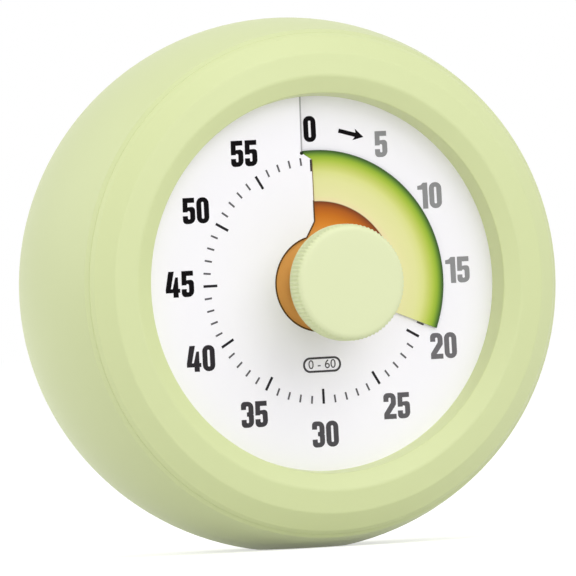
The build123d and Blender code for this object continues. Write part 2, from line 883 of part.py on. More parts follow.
def make_movement_front_plate():
    """Plate that carries the bush and the front pivots."""
    plate = cylinder(movement_radius, plate_back, chassis_back)
    plate -= cylinder(bush_radius, plate_back, chassis_back)
    plate -= pivot_holes(plate_back, plate_back + pivot_depth)
    for angle in movement_post_angles:
        hole = small_screw_radius + post_hole_gap
        plate -= cylinder(hole, plate_back, chassis_back, polar(movement_post_ring, angle))
    return plate


def make_movement_case():
    """Cup round the train, with screw posts, motor pegs and the rear bearings."""
    inner_radius = movement_radius - movement_wall
    case = cylinder(movement_radius, movement_back, plate_back)
    rim = case.edges().filter_by(GeomType.CIRCLE).sort_by(Axis.Z)[0]
    case = fillet(rim, movement_wall / 2)
    case -= cylinder(inner_radius, movement_floor, plate_back)
    inside = cylinder(inner_radius + movement_wall / 2, movement_floor, plate_back)
    for angle in movement_post_angles:
        place = polar(movement_post_ring, angle)
        case += cylinder(movement_post_radius, movement_floor, plate_back, place) & inside
        bite_foot = plate_back - screw_bite - screw_gap
        case -= cylinder(small_screw_radius + screw_gap, bite_foot, plate_back, place)
    for y in coil_ends:
        case += cylinder(stator_peg_radius, movement_floor, stator_back, (stator_peg_x, y))
    case -= cylinder(arbor_pivot_radius + running_gap, movement_back, movement_floor)
    return case - pivot_holes(movement_floor - pivot_depth, movement_floor)


# ---- Motor ----

stator_middle = (magnet_low + magnet_high) / 2
stator_back = stator_middle - stator_thickness / 2
stator_front = stator_middle + stator_thickness / 2
core_middle = stator_front + core_thickness / 2
coil_ends = (stator_low + stator_width / 2, stator_high - stator_width / 2)


def make_stator():
    """Lamination: two arms to the coil's core, and a leg round the rotor's hole."""
    right = coil_x + stator_width / 2
    leg_right = stator_leg_x + stator_width
    half_eye = rotor_hole_radius + rotor_bridge
    eye_x = rotor_place[0]
    depth = (stator_back, stator_front)
    plate = block(eye_x - half_eye, right, stator_high - stator_width, stator_high, *depth)
    plate += block(stator_leg_x, right, stator_low, stator_low + stator_width, *depth)
    plate += block(stator_leg_x, leg_right, stator_low, rotor_place[1] - half_eye, *depth)
    plate += block(eye_x - half_eye, leg_right, rotor_place[1] - half_eye, stator_high, *depth)
    return plate - cylinder(rotor_hole_radius, *depth, rotor_place)


def make_coil_core():
    """Iron bar through the coil, lying on the stator's arms."""
    return block(
        coil_x - core_width / 2, coil_x + core_width / 2,
        stator_low + core_gap, stator_high - core_gap,
        stator_front, stator_front + core_thickness,
    )


def along_coil(radius, low, high):
    """Round bar along the coil's axis."""
    bar = Cylinder(radius, high - low, align=(Align.CENTER, Align.CENTER, Align.MIN))
    return Pos(coil_x, low, core_middle) * Rot(-90, 0, 0) * bar


def make_coil_bobbin():
    """Bobbin: tube and two flanges round the core."""
    bobbin = along_coil(coil_tube_radius, coil_low, coil_high)
    bobbin += along_coil(coil_radius, coil_low, coil_low + coil_flange)
    bobbin += along_coil(coil_radius, coil_high - coil_flange, coil_high)
    half_width = core_width / 2 + core_gap
    half_depth = core_thickness / 2 + core_gap
    return bobbin - block(
        coil_x - half_width, coil_x + half_width, coil_low, coil_high,
        core_middle - half_depth, core_middle + half_depth,
    )


def make_coil_winding():
    """Copper winding between the bobbin's flanges."""
    low = coil_low + coil_flange
    high = coil_high - coil_flange
    return along_coil(coil_radius - core_gap, low, high) - along_coil(coil_tube_radius, low, high)


# ---- Alarm contacts, battery and board ----

def contact_leaf(top, tip_x):
    """Leaf on edge, with a foot on the movement case's floor."""
    foot_x = leaf_root_x
    leaf = block(foot_x, tip_x, top - leaf_thickness, top, cam_front - leaf_width, cam_front)
    leaf += block(foot_x, foot_x + leaf_width, top - leaf_thickness, top, movement_floor, cam_front)
    return leaf + block(
        foot_x, foot_x + leaf_width, top - leaf_foot / 2, top,
        movement_floor, movement_floor + leaf_thickness,
    )


def make_alarm_contact():
    return contact_leaf(-cam_radius - leaf_gap, leaf_tip_x)


def make_alarm_contact_fixed():
    return contact_leaf(-cam_radius - leaf_gap - leaf_spacing, leaf_tip_x - leaf_width)


battery_left = -bay_length / 2 + spring_room
battery_right = battery_left + battery_length


def lengthways(shape):
    """Lay what was turned about z along x, through the battery's axis."""
    return Pos(0, battery_height, battery_depth) * Rot(0, 90, 0) * shape


def make_battery():
    """AA cell: can with a rounded shoulder, and the nub at its right end."""
    can_right = battery_right - battery_nub
    cell = cylinder(battery_radius, battery_left, can_right)
    cell = fillet(cell.edges().filter_by(GeomType.CIRCLE), battery_round)
    nub = cylinder(battery_nub_radius, can_right, battery_right)
    nub_edge = nub.edges().filter_by(GeomType.CIRCLE).sort_by(Axis.Z)[-1]
    return lengthways(cell + fillet(nub_edge, battery_nub_round))


def make_battery_spring():
    """Plate and conical coil against the cell's flat end."""
    plate_x = -bay_length / 2
    half = contact_size / 2
    plate = Pos(0, battery_height, battery_depth) * block(
        plate_x, plate_x + contact_plate, -half, half, -half, half
    )
    start = plate_x + contact_plate + spring_start
    rise = battery_left - spring_wire_radius - start
    points = []
    count = spring_turns * spring_points_per_turn
    for index in range(count + 1):
        share = index / count
        radius = spring_wide_radius + (spring_narrow_radius - spring_wide_radius) * share
        x, y = polar(radius, 360 * index / spring_points_per_turn)
        points.append((x, y, rise * share))
    path = Spline(*points)
    section = Plane(origin=path @ 0, z_dir=path % 0) * Circle(spring_wire_radius)
    coil = sweep(section, path=path)
    end_ring = Torus(spring_narrow_radius, spring_wire_radius)
    coil = Pos(0, 0, start) * (coil + Pos(0, 0, rise) * end_ring)
    return plate + lengthways(coil)


def make_battery_plate():
    """Plate with a bump against the cell's nub."""
    plate_x = bay_length / 2
    half = contact_size / 2
    plate = Pos(0, battery_height, battery_depth) * block(
        plate_x - contact_plate, plate_x, -half, half, -half, half
    )
    bump = cylinder(plate_bump_radius, battery_right, plate_x - contact_plate)
    tip = bump.edges().filter_by(GeomType.CIRCLE).sort_by(Axis.Z)[0]
    return plate + lengthways(fillet(tip, plate_bump_round))


def battery_lead(side):
    """Insulated wire from a contact plate, through the bay's upper wall, to the board."""
    x = side * (bay_length / 2 - lead_inset)
    plate_top = battery_height + contact_size / 2
    bay_top = battery_height + bay_height / 2 + bay_wall
    lifted = board_front + lead_lift
    points = [
        (x, plate_top, battery_depth),
        (x, bay_top + lead_bend, battery_depth),
        (side * (lead_pad_x + lead_run), lead_pad_height, lifted),
        (side * lead_pad_x, lead_pad_height, lifted),
        (side * lead_pad_x, lead_pad_height, board_front),
    ]
    path = FilletPolyline(*points, radius=lead_bend / 2)
    section = Plane(origin=path @ 0, z_dir=path % 0) * Circle(lead_radius)
    return sweep(section, path=path)


def make_battery_lead_black():
    return battery_lead(-1)


def make_battery_lead_red():
    return battery_lead(1)


def make_battery_door():
    """Cover flush with the back, with two locating ribs and grooves to push on."""
    half_length = door_opening_length / 2 + door_ledge
    half_height = bay_height / 2 + door_ledge
    low, high = battery_height - half_height, battery_height + half_height
    inside = -case_depth + door_thickness
    door = block(-half_length, half_length, low, high, -case_depth, inside)
    half_rib = door_rib_length / 2
    rib_middle = bay_height / 2 - door_gap - door_rib_width / 2
    for y in (battery_height - rib_middle, battery_height + rib_middle):
        door += block(
            -half_rib, half_rib, y - door_rib_width / 2, y + door_rib_width / 2,
            inside, inside + door_rib_depth,
        )
    half_groove = door_groove_spacing / 4
    for index in range(door_grooves):
        y = high - door_groove_spacing * (index + 1)
        half_wide = door_notch_radius - door_groove_step * index
        door -= block(
            -half_wide, half_wide, y - half_groove, y + half_groove,
            -case_depth, -case_depth + door_groove,
        )
    return door


def make_circuit_board():
    """Board on its two pegs, with rounded corners."""
    outline = RectangleRounded(board_width, board_height, board_corner)
    board = Pos(0, board_middle, board_back) * extrude(outline, board_thickness)
    for place in board_peg_places():
        board -= cylinder(small_screw_radius + post_hole_gap, board_back, board_front, place)
    return board


def make_circuit_screws():
    """Two screws through the board into its pegs."""
    head_front = board_front + small_head_height
    head = cylinder(small_head_radius, board_front, head_front)
    shaft = cylinder(small_screw_radius, case_inside + case_wall, board_front)
    recess_foot = head_front - small_head_height / 2
    screw = head + shaft - cross(small_recess_length, small_recess_width, recess_foot, head_front)
    return copies(screw, board_peg_places())


def make_buzzer():
    """Round buzzer on the board's rear side, with its sound hole to the back."""
    low = board_back - buzzer_height
    body = cylinder(buzzer_radius, low, board_back, (buzzer_x, board_middle))
    rim = body.edges().filter_by(GeomType.CIRCLE).sort_by(Axis.Z)[0]
    sound_hole = cylinder(sound_hole_radius, low, low + buzzer_hole_depth, (buzzer_x, board_middle))
    return fillet(rim, buzzer_round) - sound_hole


def make_circuit_chip():
    """Clock chip on the board's front side."""
    half = chip_size / 2
    x, y = switch_x, board_middle
    return block(x - half, x + half, y - half, y + half, board_front, board_front + chip_height)


def make_crystal():
    """Quartz crystal can lying on the board."""
    bar = Cylinder(crystal_radius, crystal_length)
    return Pos(buzzer_x, board_middle, board_front + crystal_radius) * Rot(90, 0, 0) * bar


switch_low = board_back - switch_height


def make_switch_body():
    """Slide switch on the board, open towards the back."""
    half_length = switch_length / 2
    half_width = switch_width / 2
    body = block(-half_length, half_length, -half_width, half_width, switch_low, board_back)
    room = slider_cap_length / 2 + switch_travel + slider_gap
    track = slider_stem_width / 2 + slider_gap
    body -= block(-room, room, -track, track, switch_low, board_back - switch_roof)
    return Pos(switch_x, board_middle, 0) * body


def make_switch_slider():
    """Shoe, stem and ridged cap of the sound switch."""
    half_stem = slider_stem_length / 2
    half_width = slider_stem_width / 2
    half_cap = slider_cap_length / 2
    dish_floor = -case_depth + switch_dish_depth
    cap_top = dish_floor - slider_gap
    shoe_low = switch_low + slider_gap
    shoe_high = board_back - switch_roof - slider_gap
    slider = block(-half_cap, half_cap, -half_width, half_width, shoe_low, shoe_high)
    slider += block(-half_stem, half_stem, -half_width, half_width, cap_top, shoe_low)
    slider += block(-half_cap, half_cap, -slider_cap_width / 2, slider_cap_width / 2, -case_depth, cap_top)
    for index in range(slider_grooves):
        x = (index - (slider_grooves - 1) / 2) * 4 * slider_ridge
        groove = block(
            x - slider_ridge, x + slider_ridge, -slider_cap_width / 2, slider_cap_width / 2,
            -case_depth, -case_depth + slider_ridge,
        )
        slider -= groove
    return Pos(switch_x, board_middle, 0) * slider


# ---- Standing frame and files ----

middle_depth = (knob_height - case_depth) / 2
stand = Plane(origin=(0, middle_depth, axis_height), x_dir=(1, 0, 0), z_dir=(0, -1, 0))

nodes = {
    "rear_housing": make_rear_housing,
    "front_bezel": make_front_bezel,
    "housing_screws": make_housing_screws,
    "chassis": make_chassis,
    "chassis_screws": make_chassis_screws,
    "dial": make_dial,
    "progress_disc": make_progress_disc,
    "disc_hub": make_disc_hub,
    "knob": make_knob,
    "arbor": make_arbor,
    "arbor_bush": make_arbor_bush,
    "arbor_wheel": make_arbor_wheel,
    "clutch_spring": make_clutch_spring,
    "alarm_cam": make_alarm_cam,
    "third_wheel": make_third_wheel,
    "fourth_wheel": make_fourth_wheel,
    "rotor_pinion": make_rotor_pinion,
    "rotor_magnet": make_rotor_magnet,
    "movement_front_plate": make_movement_front_plate,
    "movement_case": make_movement_case,
    "movement_screws": make_movement_screws,
    "stator": make_stator,
    "coil_core": make_coil_core,
    "coil_bobbin": make_coil_bobbin,
    "coil_winding": make_coil_winding,
    "alarm_contact": make_alarm_contact,
    "alarm_contact_fixed": make_alarm_contact_fixed,
    "battery": make_battery,
    "battery_spring": make_battery_spring,
    "battery_plate": make_battery_plate,
    "battery_lead_black": make_battery_lead_black,
    "battery_lead_red": make_battery_lead_red,
    "battery_door": make_battery_door,
    "circuit_board": make_circuit_board,
    "circuit_screws": make_circuit_screws,
    "buzzer": make_buzzer,
    "circuit_chip": make_circuit_chip,
    "crystal": make_crystal,
    "switch_body": make_switch_body,
    "switch_slider": make_switch_slider,
}

os.makedirs("parts", exist_ok=True)
for name, make in nodes.items():
    shape = make()
    export_step(stand.location * shape, f"parts/{name}.step")
    print(name, round(shape.volume, 2))
print("third", third_place, "fourth", fourth_place, "rotor", rotor_place)
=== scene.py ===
import json
import math

import bpy
from mathutils import Matrix, Vector


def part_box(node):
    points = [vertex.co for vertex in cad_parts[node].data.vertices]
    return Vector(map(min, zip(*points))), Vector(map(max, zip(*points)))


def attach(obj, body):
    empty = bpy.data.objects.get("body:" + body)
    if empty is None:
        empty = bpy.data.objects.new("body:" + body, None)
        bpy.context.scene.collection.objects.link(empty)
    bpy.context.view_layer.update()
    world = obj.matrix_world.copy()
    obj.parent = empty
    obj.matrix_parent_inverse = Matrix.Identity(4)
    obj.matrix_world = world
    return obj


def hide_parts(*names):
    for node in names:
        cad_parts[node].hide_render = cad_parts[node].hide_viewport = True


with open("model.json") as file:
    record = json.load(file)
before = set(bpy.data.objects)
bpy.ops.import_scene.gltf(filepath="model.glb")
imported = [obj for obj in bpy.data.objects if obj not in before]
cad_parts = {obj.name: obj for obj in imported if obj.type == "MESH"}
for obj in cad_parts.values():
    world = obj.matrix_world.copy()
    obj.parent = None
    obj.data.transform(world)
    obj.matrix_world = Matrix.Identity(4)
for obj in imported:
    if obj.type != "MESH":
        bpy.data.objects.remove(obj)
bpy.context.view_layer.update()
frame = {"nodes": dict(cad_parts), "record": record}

mm = 0.001
nodes = frame["nodes"]

# The dial's own axes: x to the right, y up and z out of the dial, in millimetres
knobLow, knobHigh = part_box("knob")
knobTop = 14.0  # height of the knob's face over the dial
axisX = (knobLow.x + knobHigh.x) / 2
axisZ = (knobLow.z + knobHigh.z) / 2
dialPitch = 1.0  # the slit sheets climb this much in one turn


def at(x, y, z):
    return Vector((axisX + x * mm, knobLow.y + (knobTop - z) * mm, axisZ + y * mm))


def radiusOf(point):
    return math.hypot(point.x - axisX, point.z - axisZ) / mm


def heightOf(point):
    return knobTop - (point.y - knobLow.y) / mm


def clockAngle(x, y):
    return math.degrees(math.atan2(x, y))  # clockwise from the top


def hexColor(code):
    channels = [int(code[i:i + 2], 16) / 255 for i in (1, 3, 5)]
    linear = [c / 12.92 if c <= 0.04045 else ((c + 0.055) / 1.055) ** 2.4 for c in channels]
    return (*linear, 1.0)


def addNode(tree, kind, inputs=None, **settings):
    node = tree.nodes.new(kind)
    for key, value in settings.items():
        setattr(node, key, value)
    for socket, value in (inputs or {}).items():
        if isinstance(value, bpy.types.NodeSocket):
            tree.links.new(value, node.inputs[socket])
        else:
            node.inputs[socket].default_value = value
    return node


def startMaterial(name):
    material = bpy.data.materials.new(name)
    material.use_nodes = True
    tree = material.node_tree
    tree.nodes.clear()
    place = addNode(tree, "ShaderNodeTexCoord").outputs["Object"]
    return material, tree, place


def finishMaterial(tree, shader):
    addNode(tree, "ShaderNodeOutputMaterial", {"Surface": shader.outputs[0]})


def deselectAll():
    if bpy.context.object and bpy.context.object.mode != "OBJECT":
        bpy.ops.object.mode_set(mode="OBJECT")
    bpy.ops.object.select_all(action="DESELECT")


def nameIt(piece, name):
    piece.name = name
    piece.data.name = name
    return piece


def softCorners(corners, steps=5):
    # corners are (x, y) or (x, y, radius); rounds each with a small arc
    points = []
    count = len(corners)
    for index, corner in enumerate(corners):
        x, y = corner[:2]
        radius = corner[2] if len(corner) > 2 else 0
        if not radius:
            points.append((x, y))
            continue
        here = Vector((x, y))
        before = (Vector(corners[index - 1][:2]) - here)
        after = (Vector(corners[(index + 1) % count][:2]) - here)
        half = before.angle(after) / 2
        reach = min(radius / math.tan(half), before.length * 0.49, after.length * 0.49)
        start = here + before.normalized() * reach
        end = here + after.normalized() * reach
        middle = here + (before.normalized() + after.normalized()).normalized() * (reach / math.cos(half))
        sweep = math.pi - 2 * half
        turnWay = 1 if before.cross(after) < 0 else -1
        spoke = start - middle
        for step in range(steps + 1):
            angle = turnWay * sweep * step / steps
            cosine, sine = math.cos(angle), math.sin(angle)
            points.append((middle.x + spoke.x * cosine - spoke.y * sine,
                           middle.y + spoke.x * sine + spoke.y * cosine))
        if (Vector(points[-1]) - end).length > 0.01:
            print("corner", corner, "did not close")
    return points


def drawLine(name, points):
    deselectAll()
    bpy.ops.mesh.primitive_plane_add(size=mm, location=points[0])
    piece = nameIt(bpy.context.object, name)
    bpy.ops.object.mode_set(mode="EDIT")
    bpy.ops.mesh.select_mode(type="VERT")
    bpy.ops.mesh.merge(type="CENTER")
    for start, end in zip(points, points[1:]):
        bpy.ops.mesh.extrude_region_move(TRANSFORM_OT_translate={"value": end - start})
    return piece


def cleanShell(angle=30, weighted=True):
    # doubles merged, faces outwards, smooth apart from the real edges
    piece = bpy.context.object
    bpy.ops.object.mode_set(mode="EDIT")
    bpy.ops.mesh.select_all(action="SELECT")
    bpy.ops.mesh.remove_doubles(threshold=1e-6)
    bpy.ops.mesh.normals_make_consistent(inside=False)
    bpy.ops.object.mode_set(mode="OBJECT")
    bpy.ops.object.transform_apply(location=True, rotation=True, scale=True)
    bpy.ops.object.shade_smooth_by_angle(angle=math.radians(angle))
    if weighted:
        even = piece.modifiers.new("evenNormals", "WEIGHTED_NORMAL")
        even.keep_sharp = True
        bpy.ops.object.modifier_apply(modifier=even.name)
    return piece


def turnedPiece(name, outline, steps):
    # outline of (radius, height) points, spun about the dial's axis
    drawLine(name, [at(r, 0, z) for r, z in outline])
    bpy.ops.mesh.select_all(action="SELECT")
    bpy.ops.mesh.spin(steps=steps, angle=2 * math.pi, center=at(0, 0, 0), axis=(0, 1, 0))
    return bpy.context.object


def climbingSheet(name, line, start, thickness, steps, gap):
    # one clockwise turn that rises by dialPitch, as a slit and sprung sheet does
    points = []
    for x, y in line:
        points.append(at(x, y, start + clockAngle(x, y) / 360 * dialPitch))
    piece = drawLine(name, points)
    bpy.ops.object.mode_set(mode="OBJECT")
    bpy.context.scene.cursor.location = at(0, 0, 0)
    bpy.ops.object.origin_set(type="ORIGIN_CURSOR")
    climb = piece.modifiers.new("climb", "SCREW")
    climb.axis = "Y"
    climb.angle = math.radians(360 - gap)
    climb.screw_offset = -dialPitch * mm * (360 - gap) / 360
    climb.steps = climb.render_steps = steps
    climb.use_merge_vertices = False
    climb.use_smooth_shade = True
    bpy.ops.object.modifier_apply(modifier=climb.name)
    bpy.ops.object.mode_set(mode="EDIT")
    bpy.ops.mesh.select_all(action="SELECT")
    bpy.ops.mesh.normals_make_consistent(inside=False)
    bpy.ops.object.mode_set(mode="OBJECT")
    wall = piece.modifiers.new("thickness", "SOLIDIFY")
    wall.thickness = thickness * mm
    wall.offset = 0
    bpy.ops.object.modifier_apply(modifier=wall.name)
    return cleanShell(40)


printThickness = 0.04


def flatShape(name, outlines):
    # drawn in millimetres on a curve with holes, then made a mesh and stood against the dial
    deselectAll()
    curve = bpy.data.curves.new(name, "CURVE")
    curve.dimensions = "2D"
    curve.fill_mode = "BOTH"
    curve.extrude = printThickness / 2
    for outline in outlines:
        spline = curve.splines.new("POLY")
        spline.points.add(len(outline) - 1)
        for point, (x, y) in zip(spline.points, outline):
            point.co = (x, y, 0, 1)
        spline.use_cyclic_u = True
    piece = bpy.data.objects.new(name, curve)
    bpy.context.scene.collection.objects.link(piece)
    return standAndMesh(piece)


def standAndMesh(piece):
    deselectAll()
    piece.select_set(True)
    bpy.context.view_layer.objects.active = piece
    bpy.ops.object.convert(target="MESH")
    piece = bpy.context.object
    piece.data.name = piece.name
    piece.scale = (mm, mm, mm)
    piece.rotation_euler = (math.radians(90), 0, 0)
    piece.location = at(0, 0, 0)
    return cleanShell(30, weighted=False)


nearCut = 20  # degrees each side of the top, where the cut decides which end of the climb it is


def faceHeight(x, y, beforeCut=False):
    # the dial's front face climbs clockwise, from the right of the cut round to its left
    angle = clockAngle(x, y) % 360
    if angle < nearCut and (beforeCut or x < cutX(y)):
        angle += 360
    if angle > 360 - nearCut and not beforeCut and x > cutX(y):
        angle -= 360
    return dialPrint["lowest"] + angle / 360 * dialPitch


def layOnDial(piece, beforeCut=False):
    for vertex in piece.data.vertices:
        x = (vertex.co.x - axisX) / mm
        y = (vertex.co.z - axisZ) / mm
        vertex.co.y -= faceHeight(x, y, beforeCut) * mm
    return piece


def paint(piece, material):
    piece.data.materials.clear()
    piece.data.materials.append(material)
    return piece


scene = bpy.context.scene
scene.view_settings.view_transform = "Standard"

mainView = {
    "azimuth": -22.1,     # degrees, from the front towards the left
    "elevation": 0.4,
    "roll": 3.0,          # the timer leans a little
    "lens": 1200,
    "sensor": 36,
    "pixels": 576,        # across the view, and up it
    "pixelsPerMm": 6.205,
    "dialRight": 31.4,    # pixels from the view's middle to the dial's middle
    "dialUp": 4.7,
}


def makeCamera():
    look = mainView
    turn = math.radians(look["azimuth"])
    lift = math.radians(look["elevation"])
    roll = math.radians(look["roll"])
    back = Vector((math.sin(turn) * math.cos(lift), -math.cos(turn) * math.cos(lift), math.sin(lift)))
    right = Vector((math.cos(turn), math.sin(turn), 0))
    up = back.cross(right)
    rollRight = right * math.cos(roll) - up * math.sin(roll)
    rollUp = up * math.cos(roll) + right * math.sin(roll)
    distance = look["lens"] / look["sensor"] * look["pixels"] / look["pixelsPerMm"]
    middle = at(0, 0, 0) + back * distance * mm
    middle -= (rollRight * look["dialRight"] + rollUp * look["dialUp"]) / look["pixelsPerMm"] * mm
    deselectAll()
    bpy.ops.object.camera_add(location=middle)
    camera = bpy.context.object
    camera.name = "mainCamera"
    camera.data.lens = look["lens"]
    camera.data.sensor_width = look["sensor"]
    camera.data.clip_start = 0.01
    camera.rotation_mode = "QUATERNION"
    basis = [[rollRight[i], rollUp[i], back[i]] for i in range(3)]
    camera.rotation_quaternion = Matrix(basis).to_quaternion()
    scene.camera = camera


lamps = {
    "worldLevel": 0.56,
    # name: (place in metres, metres across, share of full light on a surface that faces it)
    "key": ((0.55, -1.1, 1.05), 1.4, 0.25),
    "front": ((-0.1, -1.5, 0.6), 1.6, 0.26),
    "top": ((0.1, -0.35, 1.5), 1.1, 0.13),
    "left": ((-1.4, -0.1, 0.55), 1.1, 0.12),
    "leftBack": ((-1.0, 0.7, 0.65), 1.3, 0.22),
}


def makeLights():
    target = at(0, 0, -10)
    for name in ("key", "front", "top", "left", "leftBack"):
        place, size, share = lamps[name]
        reach = target - Vector(place)
        deselectAll()
        bpy.ops.object.light_add(type="AREA", location=place)
        lamp = bpy.context.object
        lamp.name = name
        lamp.data.shape = "DISK"
        lamp.data.size = size
        lamp.data.energy = share * (math.pi * reach.length) ** 2
        lamp.rotation_euler = reach.to_track_quat("-Z", "Y").to_euler()
    world = bpy.data.worlds.new("studioWorld")
    scene.world = world
    world.use_nodes = True
    tree = world.node_tree
    tree.nodes.clear()
    rays = addNode(tree, "ShaderNodeLightPath")
    seen = seenRays(tree, rays)
    level = addNode(tree, "ShaderNodeMapRange", {0: seen, 3: lamps["worldLevel"], 4: 1.0})
    sky = addNode(tree, "ShaderNodeBackground", {"Color": (1, 1, 1, 1), "Strength": level.outputs[0]})
    addNode(tree, "ShaderNodeOutputWorld", {"Surface": sky.outputs[0]})


def seenRays(tree, rays):
    # 1 where the camera looks, directly or in a reflection or through glass
    glossy = addNode(tree, "ShaderNodeMath", {0: rays.outputs["Is Camera Ray"],
                                              1: rays.outputs["Is Glossy Ray"]}, operation="MAXIMUM")
    both = addNode(tree, "ShaderNodeMath", {0: glossy.outputs[0],
                                            1: rays.outputs["Is Transmission Ray"]}, operation="MAXIMUM")
    return both.outputs[0]


def makeStage():
    deselectAll()
    bpy.ops.mesh.primitive_plane_add(size=6, location=(0, 0, 0))
    floor = nameIt(bpy.context.object, "studioFloor")
    material, tree, place = startMaterial("Painted studio floor, matt white")
    rays = addNode(tree, "ShaderNodeLightPath")
    seen = seenRays(tree, rays)
    speckle = addNode(tree, "ShaderNodeTexNoise", {"Vector": place, "Scale": 40.0, "Detail": 3.0})
    tone = addNode(tree, "ShaderNodeMapRange", {0: speckle.outputs[0], 3: 0.68, 4: 0.72})
    bounce = addNode(tree, "ShaderNodeBsdfDiffuse", {"Color": tone.outputs[0]})
    lift = addNode(tree, "ShaderNodeMapRange", {0: seen, 3: 0.0, 4: 0.6})
    glow = addNode(tree, "ShaderNodeEmission", {"Color": (1, 1, 1, 1), "Strength": lift.outputs[0]})
    both = addNode(tree, "ShaderNodeAddShader", {0: bounce.outputs[0], 1: glow.outputs[0]})
    finishMaterial(tree, both)
    floor.data.materials.append(material)


makeCamera()
makeLights()
makeStage()
print("camera, lights and floor are up")


def mouldedPlastic(name, look):
    # injection moulded: pigment drifts a little, fine spark-eroded grain breaks the shine
    material, tree, place = startMaterial(name)
    drift = addNode(tree, "ShaderNodeTexNoise",
                    {"Vector": place, "Scale": 1000 / look["driftMm"], "Detail": 2.0})
    tone = addNode(tree, "ShaderNodeMix", {0: drift.outputs[0], 6: hexColor(look["dark"]),
                                           7: hexColor(look["light"])}, data_type="RGBA")
    grain = addNode(tree, "ShaderNodeTexNoise",
                    {"Vector": place, "Scale": 1000 / look["grainMm"], "Detail": 3.0, "Roughness": 0.6})
    rough = addNode(tree, "ShaderNodeMapRange", {0: grain.outputs[0], 3: look["rough"] - 0.05,
                                                 4: look["rough"] + 0.05})
    bump = addNode(tree, "ShaderNodeBump", {"Strength": 0.25,
                                            "Distance": look["grainDepthMm"] * mm,
                                            "Height": grain.outputs[0]})
    shader = addNode(tree, "ShaderNodeBsdfPrincipled",
                     {"Base Color": tone.outputs[2], "Roughness": rough.outputs[0],
                      "IOR": 1.49, "Normal": bump.outputs[0]})
    finishMaterial(tree, shader)
    return material


def workedMetal(name, look):
    # stretched noise stands for the lines that turning, rolling or stamping leaves
    material, tree, place = startMaterial(name)
    squeeze = addNode(tree, "ShaderNodeMapping", {"Vector": place, "Scale": look["stretch"]})
    lines = addNode(tree, "ShaderNodeTexNoise", {"Vector": squeeze.outputs[0],
                                                 "Scale": 1000 / look["lineMm"], "Detail": 4.0})
    stains = addNode(tree, "ShaderNodeTexNoise", {"Vector": place, "Scale": 1000 / 3.0, "Detail": 3.0})
    tone = addNode(tree, "ShaderNodeMix", {0: stains.outputs[0], 6: hexColor(look["dark"]),
                                           7: hexColor(look["light"])}, data_type="RGBA")
    rough = addNode(tree, "ShaderNodeMapRange", {0: lines.outputs[0], 3: look["rough"] - 0.1,
                                                 4: look["rough"] + 0.12})
    bump = addNode(tree, "ShaderNodeBump", {"Strength": 0.3, "Distance": look["depthMm"] * mm,
                                            "Height": lines.outputs[0]})
    shader = addNode(tree, "ShaderNodeBsdfPrincipled",
                     {"Base Color": tone.outputs[2], "Metallic": 1.0,
                      "Roughness": rough.outputs[0], "Normal": bump.outputs[0]})
    finishMaterial(tree, shader)
    return material


def dialFilm():
    # printed polyester sheet, matt coated: clean white with a faint paper-like tooth
    material, tree, place = startMaterial("Polyester sheet, screen printed matt white")
    tooth = addNode(tree, "ShaderNodeTexNoise", {"Vector": place, "Scale": 1000 / 0.5, "Detail": 4.0})
    cloud = addNode(tree, "ShaderNodeTexNoise", {"Vector": place, "Scale": 1000 / 18, "Detail": 1.0})
    tone = addNode(tree, "ShaderNodeMix", {0: cloud.outputs[0], 6: hexColor("#F9F7FE"),
                                           7: hexColor("#FCFAFF")}, data_type="RGBA")
    rough = addNode(tree, "ShaderNodeMapRange", {0: tooth.outputs[0], 3: 0.5, 4: 0.62})
    bump = addNode(tree, "ShaderNodeBump", {"Strength": 0.15, "Distance": 0.004 * mm,
                                            "Height": tooth.outputs[0]})
    shader = addNode(tree, "ShaderNodeBsdfPrincipled",
                     {"Base Color": tone.outputs[2], "Roughness": rough.outputs[0],
                      "IOR": 1.45, "Normal": bump.outputs[0]})
    finishMaterial(tree, shader)
    return material


dialLook = {"thickness": 0.35, "start": -0.5, "steps": 240, "gap": 0.3,
            "cut": [(-1.87, 30.18), (-1.95, 25.5), (-2.04, 21.1), (-0.42, 20.0), (-0.38, 18.0), (-0.4, 14.0),
                    (-0.42, 10.0), (-0.85, 9.2), (-1.95, 7.346)]}
discLook = {"thickness": 0.25, "steps": 240, "gap": 0.05, "restAngle": 112.6,
            "inner": 4.45, "between": (9.0, 13.5, 18.0), "outer": 21.5}
discBands = [
    # radius in mm, colour: the rings of a cut avocado, from the pit to the skin
    (0.0, "#EDB25F"), (7.2, "#E8A658"), (9.4, "#DF8A28"), (11.0, "#CB7208"), (12.2, "#B25C05"),
    (12.9, "#8B4207"), (13.2, "#6A310D"), (13.3, "#F2E3B2"), (14.2, "#ECE8AC"), (16.8, "#E5E5A0"),
    (18.0, "#DDE08D"), (19.0, "#C7D066"), (19.8, "#AFC444"), (20.4, "#93B32F"), (20.9, "#678E27"),
    (21.25, "#3C5E20"), (21.5, "#33511F"),
]


